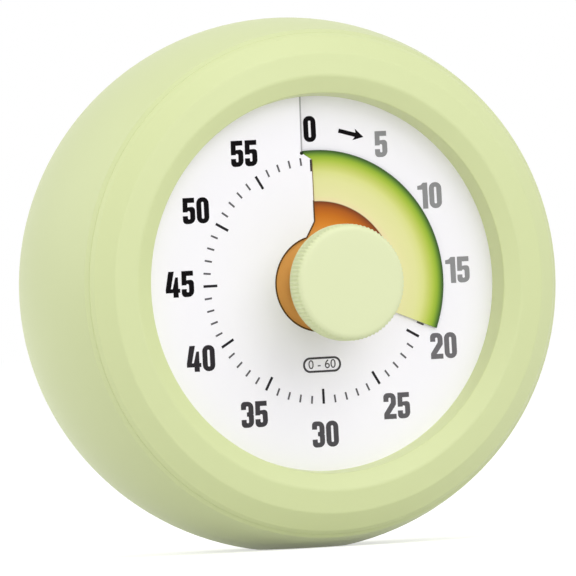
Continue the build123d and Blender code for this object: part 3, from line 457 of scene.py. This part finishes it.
def discFilm():
    # digitally printed film: soft rings of ink that follow the radius
    material, tree, place = startMaterial("Polyester film, digitally printed rings")
    centred = addNode(tree, "ShaderNodeMapping",
                      {"Vector": place, "Location": (-axisX, 0, -axisZ)})
    flat = addNode(tree, "ShaderNodeVectorMath", {0: centred.outputs[0], 1: (1, 0, 1)},
                   operation="MULTIPLY")
    radius = addNode(tree, "ShaderNodeVectorMath", {0: flat.outputs[0]}, operation="LENGTH")
    wobble = addNode(tree, "ShaderNodeTexNoise", {"Vector": place, "Scale": 1000 / 6, "Detail": 2.0})
    shift = addNode(tree, "ShaderNodeMapRange", {0: wobble.outputs[0], 3: -0.03, 4: 0.03})
    reach = addNode(tree, "ShaderNodeMath", {0: radius.outputs["Value"], 1: 1000 / discLook["outer"],
                                             2: 0.0}, operation="MULTIPLY_ADD")
    inkShift = addNode(tree, "ShaderNodeMath", {0: shift.outputs[0], 1: 1 / discLook["outer"],
                                                2: reach.outputs[0]}, operation="MULTIPLY_ADD")
    ramp = addNode(tree, "ShaderNodeValToRGB", {0: inkShift.outputs[0]})
    while len(ramp.color_ramp.elements) > 1:
        ramp.color_ramp.elements.remove(ramp.color_ramp.elements[0])
    for index, (ring, code) in enumerate(discBands):
        share = ring / discLook["outer"]
        spot = ramp.color_ramp.elements[0] if index == 0 else ramp.color_ramp.elements.new(share)
        spot.position = share
        spot.color = hexColor(code)
    dots = addNode(tree, "ShaderNodeTexNoise", {"Vector": place, "Scale": 1000 / 0.25, "Detail": 2.0})
    bump = addNode(tree, "ShaderNodeBump", {"Strength": 0.12, "Distance": 0.003 * mm,
                                            "Height": dots.outputs[0]})
    rough = addNode(tree, "ShaderNodeMapRange", {0: dots.outputs[0], 3: 0.42, 4: 0.52})
    shader = addNode(tree, "ShaderNodeBsdfPrincipled",
                     {"Base Color": ramp.outputs[0], "Roughness": rough.outputs[0],
                      "IOR": 1.45, "Specular IOR Level": 0.3, "Normal": bump.outputs[0]})
    finishMaterial(tree, shader)
    return material


def printInk(code):
    # screen ink, also used for the painted edge shadows along the cut and window: dense, dry and a touch
    # uneven where the mesh let it through
    material, tree, place = startMaterial("Screen ink and painted shade " + code[1:] + ", dry matt")
    mesh = addNode(tree, "ShaderNodeTexNoise", {"Vector": place, "Scale": 1000 / 0.3, "Detail": 2.0})
    base = hexColor(code)
    lighter = tuple(c * 1.12 for c in base[:3]) + (1.0,)
    tone = addNode(tree, "ShaderNodeMix", {0: mesh.outputs[0], 6: base, 7: lighter}, data_type="RGBA")
    bump = addNode(tree, "ShaderNodeBump", {"Strength": 0.2, "Distance": 0.004 * mm,
                                            "Height": mesh.outputs[0]})
    shader = addNode(tree, "ShaderNodeBsdfPrincipled",
                     {"Base Color": tone.outputs[2], "Roughness": 0.75, "IOR": 1.45,
                      "Specular IOR Level": 0.08, "Normal": bump.outputs[0]})
    finishMaterial(tree, shader)
    return material


def woundCopper():
    # enamelled wire in even turns, 0.12 mm in fact and drawn at 0.3 mm so that it shows
    material, tree, place = startMaterial("Copper wire, enamelled and wound")
    turns = addNode(tree, "ShaderNodeTexWave", {"Vector": place, "Scale": 1000 / 0.3 / (2 * math.pi),
                                                "Distortion": 0.6, "Detail": 1.0,
                                                "Detail Scale": 2.0},
                    wave_type="BANDS", bands_direction="Z", wave_profile="SIN")
    # colour darkens into the grooves between turns as painted shade and lightens on the crowns as painted
    # highlight
    tone = addNode(tree, "ShaderNodeMix", {0: turns.outputs["Fac"], 6: hexColor("#6E3115"),
                                           7: hexColor("#C9713B")}, data_type="RGBA")
    bump = addNode(tree, "ShaderNodeBump", {"Strength": 0.8, "Distance": 0.08 * mm,
                                            "Height": turns.outputs["Fac"]})
    shader = addNode(tree, "ShaderNodeBsdfPrincipled",
                     {"Base Color": tone.outputs[2], "Metallic": 1.0, "Roughness": 0.32,
                      "Coat Weight": 0.6, "Coat Roughness": 0.15, "Normal": bump.outputs[0]})
    finishMaterial(tree, shader)
    return material


cellLook = {"bandMm": 17, "plusEndMm": 2.6, "minusEndMm": 0.5}


def cellWrap():
    # shrink sleeve with a plain band near the plus end, bare plated steel at both ends
    material, tree, place = startMaterial("Printed shrink film over a steel cell")
    low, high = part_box("battery")
    along = addNode(tree, "ShaderNodeSeparateXYZ", {0: place}).outputs[0]
    bandStart = high.x - cellLook["bandMm"] * mm
    band = addNode(tree, "ShaderNodeMath", {0: along, 1: bandStart}, operation="GREATER_THAN")
    plusEnd = addNode(tree, "ShaderNodeMath", {0: along, 1: high.x - cellLook["plusEndMm"] * mm},
                      operation="GREATER_THAN")
    minusEnd = addNode(tree, "ShaderNodeMath", {0: along, 1: low.x + cellLook["minusEndMm"] * mm},
                       operation="LESS_THAN")
    bare = addNode(tree, "ShaderNodeMath", {0: plusEnd.outputs[0], 1: minusEnd.outputs[0]},
                   operation="MAXIMUM").outputs[0]
    creep = addNode(tree, "ShaderNodeTexNoise", {"Vector": place, "Scale": 1000 / 2.2, "Detail": 3.0})
    wrap = addNode(tree, "ShaderNodeMix", {0: band.outputs[0], 6: hexColor("#2B2F36"),
                                           7: hexColor("#B98A3E")}, data_type="RGBA")
    tone = addNode(tree, "ShaderNodeMix", {0: bare, 6: wrap.outputs[2], 7: hexColor("#C9C9C6")},
                   data_type="RGBA")
    rough = addNode(tree, "ShaderNodeMapRange", {0: creep.outputs[0], 3: 0.24, 4: 0.36})
    bump = addNode(tree, "ShaderNodeBump", {"Strength": 0.2, "Distance": 0.02 * mm,
                                            "Height": creep.outputs[0]})
    shader = addNode(tree, "ShaderNodeBsdfPrincipled",
                     {"Base Color": tone.outputs[2], "Metallic": bare, "Roughness": rough.outputs[0],
                      "Normal": bump.outputs[0]})
    finishMaterial(tree, shader)
    return material


def circuitLaminate():
    # glass-fibre board under green solder mask, copper tracks standing out a little
    material, tree, place = startMaterial("Glass-fibre laminate, green solder mask")
    tracks = addNode(tree, "ShaderNodeTexBrick",
                     {"Vector": addNode(tree, "ShaderNodeMapping",
                                        {"Vector": place, "Rotation": (math.radians(90), 0, 0)}).outputs[0],
                      "Color1": (0, 0, 0, 1), "Color2": (0, 0, 0, 1), "Mortar": (1, 1, 1, 1),
                      "Scale": 1000.0, "Mortar Size": 0.16, "Mortar Smooth": 0.1,
                      "Brick Width": 4.6, "Row Height": 1.3})
    weave = addNode(tree, "ShaderNodeTexNoise", {"Vector": place, "Scale": 1000 / 0.6, "Detail": 2.0})
    under = addNode(tree, "ShaderNodeMix", {0: weave.outputs[0], 6: hexColor("#0E3A22"),
                                            7: hexColor("#155030")}, data_type="RGBA")
    tone = addNode(tree, "ShaderNodeMix", {0: tracks.outputs[0], 6: under.outputs[2],
                                           7: hexColor("#2E7A4A")}, data_type="RGBA")
    bump = addNode(tree, "ShaderNodeBump", {"Strength": 0.6, "Distance": 0.03 * mm,
                                            "Height": tracks.outputs[0]})
    shader = addNode(tree, "ShaderNodeBsdfPrincipled",
                     {"Base Color": tone.outputs[2], "Roughness": 0.32, "Normal": bump.outputs[0]})
    finishMaterial(tree, shader)
    return material


shellLook = {"dark": "#D0D9A1", "light": "#D4DDA7", "driftMm": 30, "grainMm": 0.35,
             "grainDepthMm": 0.004, "rough": 0.42}
# a lighter copy of the housing's plastic: painted highlight for the bright bands round the ring's face
ringHighlightLook = {**shellLook, "dark": "#D3DCA3", "light": "#D7E0A9"}
knobLook = {**shellLook, "dark": "#DEE5B6", "light": "#E2E9BC", "rough": 0.46}


def plainPlastic(dark, light, rough, grain=0.4, depth=0.01):
    return {"dark": dark, "light": light, "driftMm": 9, "grainMm": grain,
            "grainDepthMm": depth, "rough": rough}


def metalLook(dark, light, rough, stretch=(1, 1, 1), line=0.3, depth=0.004):
    return {"dark": dark, "light": light, "rough": rough, "stretch": stretch,
            "lineMm": line, "depthMm": depth}


finishes = {
    "case_plastic": mouldedPlastic("ABS, satin moulded pale green", shellLook),
    "bezel_plastic": mouldedPlastic("ABS, satin moulded pale green ring", ringHighlightLook),
    "knob_plastic": mouldedPlastic("ABS, satin moulded light green", knobLook),
    "dial_sheet": dialFilm(),
    "disc_sheet": discFilm(),
    # acetal is milky and a little waxy
    "hub_plastic": mouldedPlastic("Acetal, moulded brown", plainPlastic("#A8672F", "#B87638", 0.42)),
    "chassis_plastic": mouldedPlastic("Polystyrene, moulded white", plainPlastic("#DCDCD6", "#E6E6E0", 0.5)),
    "movement_plastic": mouldedPlastic("ABS, moulded black", plainPlastic("#17181A", "#202124", 0.42)),
    "wheel_plastic": mouldedPlastic("Acetal, moulded natural", plainPlastic("#E4E2D8", "#F0EEE6", 0.34)),
    # concentric tool marks catch the light in streaks
    "steel": workedMetal("Steel, turned", metalLook("#A8A9AA", "#C4C5C6", 0.26, (1, 12, 1))),
    "screw_steel": workedMetal("Steel, zinc plated", metalLook("#9DA0A0", "#C9CBC8", 0.33)),
    "spring_steel": workedMetal("Spring steel, nickel plated", metalLook("#B9B7AE", "#D6D4CC", 0.22)),
    "brass": workedMetal("Brass, turned", metalLook("#B58A3C", "#D8B25C", 0.25, (1, 12, 1))),
    "magnet": workedMetal("Ferrite, sintered", metalLook("#3A3A3D", "#55555A", 0.6, (1, 1, 1), 0.2, 0.02)),
    "lamination": workedMetal("Soft iron, stamped", metalLook("#8E9093", "#ACAEB0", 0.38, (8, 1, 1))),
    "bobbin_plastic": mouldedPlastic("Nylon, moulded cream", plainPlastic("#D3C79C", "#E0D6B0", 0.45)),
    "copper": woundCopper(),
    "contact_metal": workedMetal("Phosphor bronze, stamped", metalLook("#B98E52", "#D9B478", 0.3, (8, 1, 1))),
    "cell_wrap": cellWrap(),
    "board": circuitLaminate(),
    # epoxy with a fine sanded look
    "chip": mouldedPlastic("Epoxy, transfer moulded", plainPlastic("#141416", "#1F1F22", 0.55, 0.15, 0.02)),
    "crystal_can": workedMetal("Steel can, drawn and tinned",
                               metalLook("#BFC1C2", "#DADCDC", 0.2, (1, 1, 10))),
    "buzzer_plastic": mouldedPlastic("PBT, moulded black", plainPlastic("#121214", "#1B1B1E", 0.38)),
    "switch_metal": workedMetal("Steel, stamped and nickel plated", metalLook("#B4B4AE", "#CFCFC9", 0.27)),
    "lead_black": mouldedPlastic("PVC insulation, extruded black", plainPlastic("#101012", "#19191B", 0.4)),
    "lead_red": mouldedPlastic("PVC insulation, extruded red", plainPlastic("#9C1712", "#B4201A", 0.38)),
    "slider_plastic": mouldedPlastic("ABS, moulded charcoal", plainPlastic("#26272A", "#303236", 0.42)),
}

for part in frame["record"]["subparts"]:
    mesh = nodes[part["node"]].data
    mesh.materials.clear()
    mesh.materials.append(finishes[part["material_slot"]])
print("materials are on the", len(nodes), "carried-over nodes")


ring = {
    "outer": 40.4, "seam": 1.3,
    "crease": (39.9, 2.2), "brow": (37.1, 4.3), "crest": (33.4, 4.95), "lip": (30.65, 3.75),
    "wall": (30.25, 0.9), "foot": (30.2, -1.0),
    "creaseRound": 0.5, "browRound": 1.0, "crestRound": 1.2, "lipRound": 0.35,
    "rim": 1.5, "rimRound": 0.15,
    "spigotOuter": 38.9, "spigotInner": 37.5, "spigotFoot": -2.2,  # it goes into the housing
    "underside": [(37.5, 0.45), (36.15, 2.55), (32.4, 2.3), (32.0, -1.0)],
    "steps": 256,
}


def ringOutline():
    corners = [
        ring["foot"],
        ring["wall"],
        (*ring["lip"], ring["lipRound"]),
        (*ring["crest"], ring["crestRound"]),
        (*ring["brow"], ring["browRound"]),
        (*ring["crease"], ring["creaseRound"]),
        (ring["outer"], ring["rim"], ring["rimRound"]),
        (ring["outer"], ring["seam"]),
        (ring["spigotOuter"], ring["seam"]),
        (ring["spigotOuter"], ring["spigotFoot"]),
        (ring["spigotInner"], ring["spigotFoot"]),
        *ring["underside"],
    ]
    return softCorners(corners, 6)


def makeFrontRing():
    outline = ringOutline()
    turnedPiece("frontRing", outline + outline[:1], ring["steps"])
    piece = cleanShell(32)
    paint(piece, finishes["bezel_plastic"])
    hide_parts("front_bezel")
    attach(piece, "case")


posts = {
    "ring": 33.1, "hole": 1.22, "holeDepth": 6.0,
    # angles, radius, foot height: long ones for the housing, short ones for the chassis
    "sets": [((45, 135, 225, 315), 2.6, -4.5), ((0, 90, 180, 270), 2.4, -1.995)],
    "top": 3.1, "endWall": 0.5, "sides": 40,
}


def makePosts():
    made = []
    for angles, radius, foot in posts["sets"]:
        for angle in angles:
            turn = math.radians(angle)
            x, y = posts["ring"] * math.cos(turn), posts["ring"] * math.sin(turn)
            deselectAll()
            bpy.ops.mesh.primitive_cylinder_add(
                vertices=posts["sides"], radius=radius * mm, depth=(posts["top"] - foot) * mm,
                location=at(x, y, (posts["top"] + foot) / 2), rotation=(math.radians(90), 0, 0))
            post = bpy.context.object
            bpy.ops.object.transform_apply(location=True, rotation=True, scale=True)
            footFace = max(post.data.polygons, key=lambda face: face.center.y)
            footIndex = footFace.index
            bpy.ops.object.mode_set(mode="EDIT")
            bpy.ops.mesh.select_all(action="DESELECT")
            bpy.ops.mesh.select_mode(type="FACE")
            bpy.ops.object.mode_set(mode="OBJECT")
            post.data.polygons[footIndex].select = True
            bpy.ops.object.mode_set(mode="EDIT")
            bpy.ops.mesh.inset(thickness=(radius - posts["hole"]) * mm)
            depth = min(posts["holeDepth"], posts["top"] - foot - posts["endWall"])
            bpy.ops.mesh.extrude_region_move(TRANSFORM_OT_translate={"value": (0, -depth * mm, 0)})
            bpy.ops.object.mode_set(mode="OBJECT")
            made.append(post)
    deselectAll()
    for post in made:
        post.select_set(True)
    bpy.context.view_layer.objects.active = made[0]
    bpy.ops.object.join()
    piece = nameIt(bpy.context.object, "ringPosts")
    cleanShell(35)
    paint(piece, finishes["bezel_plastic"])
    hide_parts("front_bezel")
    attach(piece, "case")


makeFrontRing()
makePosts()
print("front ring and its posts are turned")


knob = {
    "radius": 9.4, "face": knobTop, "edgeRound": 1.15, "edgeSteps": 7,
    "crown": 0.06, "crownShares": (0.35, 0.7, 0.9, 1.0),  # how far the face falls, and where
    "skirtFoot": 10.0,
    "skirt": [(0, 2.6), (0, 0.75), (0, 0.45), (0.12, 0.2), (0.4, 0.02)],  # (inwards, above its foot)
    "cove": 3.7, "coveRadius": 8.9, "coveSteps": 8,
    "neck": 5.2, "neckTop": 4.0, "neckBevel": 0.2, "foot": 1.695,
    "bore": 2.42, "boreTop": 11.2,
    "serrations": 84, "columns": 4, "grooveDepth": 0.3, "grooveSide": 0.45,
    "grooveFoot": 10.6, "grooveEnd": 0.2, "grooveFade": 0.7, "grooveReach": 0.5,
}


def knobOutline():
    look = knob
    face, edge = look["face"], look["edgeRound"]
    flat = look["radius"] - edge
    points = [(0, face)]
    for share in look["crownShares"]:
        points.append((flat * share, face - look["crown"] * share ** 4))
    for step in range(1, look["edgeSteps"] + 1):
        angle = math.radians(90 - 90 * step / look["edgeSteps"])
        points.append((flat + edge * math.cos(angle),
                       face - look["crown"] - edge + edge * math.sin(angle)))
    points += [(look["radius"] - inwards, look["skirtFoot"] + up) for inwards, up in look["skirt"]]
    centre = (look["coveRadius"], look["skirtFoot"] - look["cove"])
    for step in range(look["coveSteps"] + 1):
        angle = math.radians(90 + 90 * step / look["coveSteps"])
        points.append((centre[0] + look["cove"] * math.cos(angle),
                       centre[1] + look["cove"] * math.sin(angle)))
    points += [(look["neck"], look["neckTop"]), (look["neck"], look["foot"] + look["neckBevel"]),
               (look["neck"] - look["neckBevel"], look["foot"]),
               (look["bore"], look["foot"]), (look["bore"], look["boreTop"]), (0, look["boreTop"])]
    return points


def makeKnob():
    turnedPiece("knobCap", knobOutline(), knob["serrations"] * knob["columns"])
    piece = cleanShell(60, weighted=False)
    # the skirt's columns are drawn in by turns, which leaves rounded serrations
    low, high = knob["grooveFoot"], knob["face"] - knob["crown"] - knob["grooveEnd"]
    for vertex in piece.data.vertices:
        height = heightOf(vertex.co)
        out = radiusOf(vertex.co)
        angle = math.degrees(math.atan2(vertex.co.z - axisZ, vertex.co.x - axisX))
        column = round(angle / 360 * knob["serrations"] * knob["columns"]) % knob["columns"]
        onSkirt = low < height < high and out >= knob["radius"] - knob["grooveReach"]
        if column == knob["columns"] // 2 or not onSkirt:
            continue
        share = 1.0 if column == 0 else knob["grooveSide"]
        fade = min(1.0, (high - height) / knob["grooveFade"])
        squeeze = 1 - knob["grooveDepth"] * share * fade / out
        vertex.co.x = axisX + (vertex.co.x - axisX) * squeeze
        vertex.co.z = axisZ + (vertex.co.z - axisZ) * squeeze
    bpy.ops.object.shade_smooth_by_angle(angle=math.radians(50))
    paint(piece, finishes["knob_plastic"])
    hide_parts("knob")
    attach(piece, "knob")


makeKnob()
print("knob is turned and serrated")


def cutX(y):
    # where the cut lies at a height over the axis
    line = dialLook["cut"]
    if y < line[-1][1]:
        return 0.0
    for (x0, y0), (x1, y1) in zip(line, line[1:]):
        if y >= y1:
            return x1 + (x0 - x1) * min(1.0, (y - y1) / (y0 - y1))
    return 0.0


def makeDial():
    piece = climbingSheet("dialSheet", dialLook["cut"], dialLook["start"],
                          dialLook["thickness"], dialLook["steps"], dialLook["gap"])
    paint(piece, finishes["dial_sheet"])
    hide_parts("dial")
    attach(piece, "case")


def makeDisc():
    turn = math.radians(discLook["restAngle"])
    rings = [discLook["inner"], *discLook["between"], discLook["outer"]]
    line = [(r * math.sin(turn), r * math.cos(turn)) for r in rings]
    # the sheet starts one turn below its leading edge
    piece = climbingSheet("colourDisc", line, -dialPitch,
                          discLook["thickness"], discLook["steps"], discLook["gap"])
    paint(piece, finishes["disc_sheet"])
    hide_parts("progress_disc")
    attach(piece, "disc")


makeDial()
makeDisc()
print("dial and coloured disc are cut")


dialPrint = {
    "lowest": dialLook["start"] + dialLook["thickness"] / 2,  # the front face where its climb begins
    "tall": 4.2, "wide": 2.16, "stem": 0.87, "bar": 0.74, "spacing": 0.26,
}
inksAndShades = {}


def inkOf(code):
    if code not in inksAndShades:
        inksAndShades[code] = printInk(code)
    return inksAndShades[code]


tall = dialPrint["tall"]
wide = dialPrint["wide"]
stem = dialPrint["stem"]  # width of the upright strokes
inner = wide - stem
bar = dialPrint["bar"]  # height of the level strokes
# condensed figures, drawn as (x, y, corner radius) outlines with their holes
digits = {
    "0": (wide, [[(0, 0, 1.0), (wide, 0, 1.0), (wide, tall, 1.0), (0, tall, 1.0)],
                 [(stem, bar, 0.2), (inner, bar, 0.2), (inner, tall - bar, 0.2), (stem, tall - bar, 0.2)]]),
    "1": (1.75, [[(0.85, 0), (1.75, 0), (1.75, tall), (0.95, tall), (0.65, tall - 0.35, 0.2),
                  (0, tall - 0.5), (0, tall - 1.1), (0.85, tall - 1.1)]]),
    "2": (wide, [[(0, 0), (wide, 0), (wide, 0.8), (1.0, 0.8), (wide, 2.3, 0.6), (wide, tall, 1.0),
                  (0, tall, 1.0), (0, tall - 1.4), (stem, tall - 1.4), (stem, tall - bar, 0.2),
                  (inner, tall - bar, 0.2), (inner, 2.65, 0.4), (0, 0.9, 0.4)]]),
    "3": (wide, [[(0, tall - 1.3), (0, tall, 1.0), (wide, tall, 1.0), (wide, 2.2, 0.5), (wide - 0.12, 2.1),
                  (wide, 2.0, 0.5), (wide, 0, 1.0), (0, 0, 1.0), (0, 1.3), (stem, 1.3), (stem, bar, 0.2),
                  (inner, bar, 0.2), (inner, 1.8, 0.2), (0.98, 1.8), (0.98, 2.48), (inner, 2.48, 0.2),
                  (inner, tall - bar, 0.2), (stem, tall - bar, 0.2), (stem, tall - 1.3)]]),
    "4": (2.5, [[(1.3, 0), (2.2, 0), (2.2, 0.75), (2.5, 0.75), (2.5, 1.4), (2.2, 1.4),
                 (2.2, 3.25), (1.74, 3.25), (1.22, 1.4), (0.9, 1.4), (1.55, tall), (0.58, tall),
                 (0, 1.35), (0, 0.75), (1.3, 0.75)]]),
    "5": (wide, [[(0.08, tall), (wide - 0.08, tall), (wide - 0.08, tall - 0.8), (0.9, tall - 0.8),
                  (0.88, tall - 1.5), (wide, 2.8, 0.9), (wide, 0, 1.0), (0, 0, 1.0), (0, 1.3), (stem, 1.3),
                  (stem, bar, 0.2), (inner, bar, 0.2), (inner, 2.08, 0.24), (stem, 2.08, 0.16),
                  (stem, 1.9), (0.03, 1.9)]]),
}

# minutes: the number's middle as a pixel of the main view, and its ink
numbers = {
    0: {"pixel": (309.5, 129), "ink": "#0C090C"},
    5: {"pixel": (381, 144), "ink": "#8E8E90"},
    10: {"pixel": (430, 195.5), "ink": "#8E8E90"},
    15: {"pixel": (458, 270), "ink": "#8E8E90"},
    20: {"pixel": (444, 346), "ink": "#6E6C70"},
    25: {"pixel": (397, 406), "ink": "#5E5C60"},
    30: {"pixel": (325.5, 434), "ink": "#4E4C50"},
    35: {"pixel": (254.5, 414), "ink": "#403E42"},
    40: {"pixel": (201, 358), "ink": "#2F2C30"},
    45: {"pixel": (180, 284), "ink": "#0C090C"},
    50: {"pixel": (196, 210.5), "ink": "#0C090C"},
    55: {"pixel": (244, 153.5), "ink": "#0C090C"},
}


def dialPlace(pixel):
    # the place on the climbing face that the main view shows at a pixel, in millimetres
    half = mainView["pixels"] / 2
    across = (pixel[0] - half - mainView["dialRight"]) / mainView["pixelsPerMm"]
    up = (half - mainView["dialUp"] - pixel[1]) / mainView["pixelsPerMm"]
    roll = math.radians(mainView["roll"])
    turn = math.radians(-mainView["azimuth"])
    x = (across * math.cos(roll) + up * math.sin(roll)) / math.cos(turn)
    y = up * math.cos(roll) - across * math.sin(roll)
    return x - faceHeight(x, y) * math.tan(turn), y


def makeNumbers():
    for minute, number in numbers.items():
        middleX, middleY = dialPlace(number["pixel"])
        letters = [digits[letter] for letter in str(minute)]
        width = sum(letterWide for letterWide, shapes in letters)
        width += dialPrint["spacing"] * (len(letters) - 1)
        left = middleX - width / 2
        outlines = []
        for letterWide, shapes in letters:
            for shape in shapes:
                outlines.append([(left + x, middleY - tall / 2 + y) for x, y in softCorners(shape)])
            left += letterWide + dialPrint["spacing"]
        piece = layOnDial(flatShape(f"number{minute:02d}", outlines))
        paint(piece, inkOf(number["ink"]))
        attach(piece, "case")


ticks = {"outer": 19.9, "middle": (-0.4, 0.5), "long": 2.4, "longWide": 0.42, "short": 1.25,
         "shortWide": 0.3, "ink": "#2A282C", "shortInk": "#5C5A5E",
         "first": (-0.62, 19.05), "firstLong": 1.9}  # beside the cut, so shorter than the rest


def tickAt(minute, length, wide):
    angle = math.radians(6 * minute)
    corners = []
    for side, out in ((-wide / 2, ticks["outer"]), (wide / 2, ticks["outer"]),
                      (wide / 2, ticks["outer"] - length), (-wide / 2, ticks["outer"] - length)):
        corners.append((ticks["middle"][0] + out * math.sin(angle) + side * math.cos(angle),
                        ticks["middle"][1] + out * math.cos(angle) - side * math.sin(angle)))
    return corners


def makeTicks():
    short = [tickAt(minute, ticks["short"], ticks["shortWide"]) for minute in range(60) if minute % 5]
    long = [tickAt(minute, ticks["long"], ticks["longWide"]) for minute in range(5, 60, 5)]
    x, y = ticks["first"]
    a, b = ticks["longWide"] / 2, ticks["firstLong"] / 2
    first = [(x - a, y - b), (x + a, y - b), (x + a, y + b), (x - a, y + b)]
    for name, outlines, ink in (("minuteTicks", short, "shortInk"), ("fiveMinuteTicks", long, "ink"),
                                ("firstTick", [first], "ink")):
        piece = layOnDial(flatShape(name, outlines), beforeCut=name == "firstTick")
        paint(piece, inkOf(ticks[ink]))
        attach(piece, "case")


arrow = {"middle": (6.95, 23.8), "long": 4.45, "shaft": 0.68, "head": 1.75, "headWide": 1.9,
         "notch": 0.85,  # share of the head's length at which the shaft meets it
         "slope": -16, "ink": "#0C090C"}


def makeArrow():
    half, shaft = arrow["long"] / 2, arrow["shaft"] / 2
    notch = half - arrow["head"] * arrow["notch"]
    barbs = half - arrow["head"]
    corners = [(-half, -shaft), (notch, -shaft), (barbs, -arrow["headWide"] / 2), (half, 0),
               (barbs, arrow["headWide"] / 2), (notch, shaft), (-half, shaft)]
    turn = math.radians(arrow["slope"])
    placed = []
    for x, y in corners:
        placed.append((arrow["middle"][0] + x * math.cos(turn) - y * math.sin(turn),
                       arrow["middle"][1] + x * math.sin(turn) + y * math.cos(turn)))
    piece = layOnDial(flatShape("directionArrow", [placed]))
    paint(piece, inkOf(arrow["ink"]))
    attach(piece, "case")


rangeMark = {"middle": (-0.35, -13.1), "size": (6.65, 2.5), "stroke": 0.34, "endFlat": 0.02,
             "text": "0 - 60", "textTall": 2.05, "ink": "#4A484B"}


def makeRangeMark():
    x, y = rangeMark["middle"]
    halfWide, halfTall = rangeMark["size"][0] / 2, rangeMark["size"][1] / 2
    outlines = []
    for inset in (0, rangeMark["stroke"]):
        a, b = halfWide - inset, halfTall - inset
        bend = b - rangeMark["endFlat"]
        outlines.append(softCorners([(x - a, y - b, bend), (x + a, y - b, bend),
                                     (x + a, y + b, bend), (x - a, y + b, bend)], 10))
    piece = layOnDial(flatShape("rangeOutline", outlines))
    paint(piece, inkOf(rangeMark["ink"]))
    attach(piece, "case")
    deselectAll()
    bpy.ops.object.text_add()
    text = nameIt(bpy.context.object, "rangeText")
    text.data.body = rangeMark["text"]
    text.data.size = rangeMark["textTall"]
    text.data.extrude = printThickness / 2
    text.data.align_x = "CENTER"
    text.data.align_y = "CENTER"
    text.data.resolution_u = 4
    piece = standAndMesh(text)
    piece.data.transform(Matrix.Translation((x * mm, 0, y * mm)))
    layOnDial(piece)
    paint(piece, inkOf(rangeMark["ink"]))
    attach(piece, "case")


# painted shadow lines that edge the cut and the window, where the dial's raised edges shade the sheet beside
# them: grey beside the numbers, brown beside the disc
cutEdgeShadow = {"wide": 0.26, "grey": "#A9A8AC", "brown": "#5E4326",
           "fine": 0.17, "fineShade": "#93835F", "fineEnd": 13.4,
           "windowStep": 4, "windowSteps": 80,  # degrees, and how many such steps edge the window
           "dot": 0.3, "dotSides": 12, "dotInk": "#22301C"}


def stripAlong(points, wide):
    # an outline on the left of a line of points
    left = []
    for index, point in enumerate(points):
        before = Vector(points[max(index - 1, 0)])
        after = Vector(points[min(index + 1, len(points) - 1)])
        way = (after - before).normalized()
        left.append((point[0] + way.y * wide, point[1] - way.x * wide))
    return points + left[::-1]


def makeCutLine():
    cut = dialLook["cut"]
    tip = cut[2]
    hole = math.hypot(*cut[-1])
    first = clockAngle(*cut[-1])
    beside = [point for point in cut[3:] if point[1] > cutEdgeShadow["fineEnd"]]
    window = [point for point in cut[3:] if point[1] <= cutEdgeShadow["fineEnd"]]
    beside.append((cutX(cutEdgeShadow["fineEnd"]), cutEdgeShadow["fineEnd"]))
    window.insert(0, beside[-1])
    for step in range(1, cutEdgeShadow["windowSteps"] + 1):
        angle = math.radians(first - step * cutEdgeShadow["windowStep"])
        window.append((hole * math.sin(angle), hole * math.cos(angle)))
    spot = []
    for step in range(cutEdgeShadow["dotSides"]):
        angle = math.radians(360 * step / cutEdgeShadow["dotSides"])
        spot.append((tip[0] - cutEdgeShadow["dot"] / 2 + cutEdgeShadow["dot"] * math.cos(angle),
                     tip[1] + cutEdgeShadow["dot"] * math.sin(angle)))
    # the three strips are painted shadow of the raised cut and hole edges; the dot is a dark green mark at
    # the cut's end
    for name, outline, code in (("cutEdgeShadow", stripAlong(cut[:3], cutEdgeShadow["wide"]), "grey"),
                                ("fineEdgeShadow", stripAlong(beside, cutEdgeShadow["fine"]), "fineShade"),
                                ("windowEdgeShadow", stripAlong(window, cutEdgeShadow["wide"]), "brown"),
                                ("cutEndDot", spot, "dotInk")):
        piece = layOnDial(flatShape(name, [outline]), beforeCut=True)
        paint(piece, inkOf(cutEdgeShadow[code]))
        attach(piece, "case")


makeNumbers()
makeTicks()
makeCutLine()
makeArrow()
makeRangeMark()
print("numbers, ticks, arrow and range mark are printed")
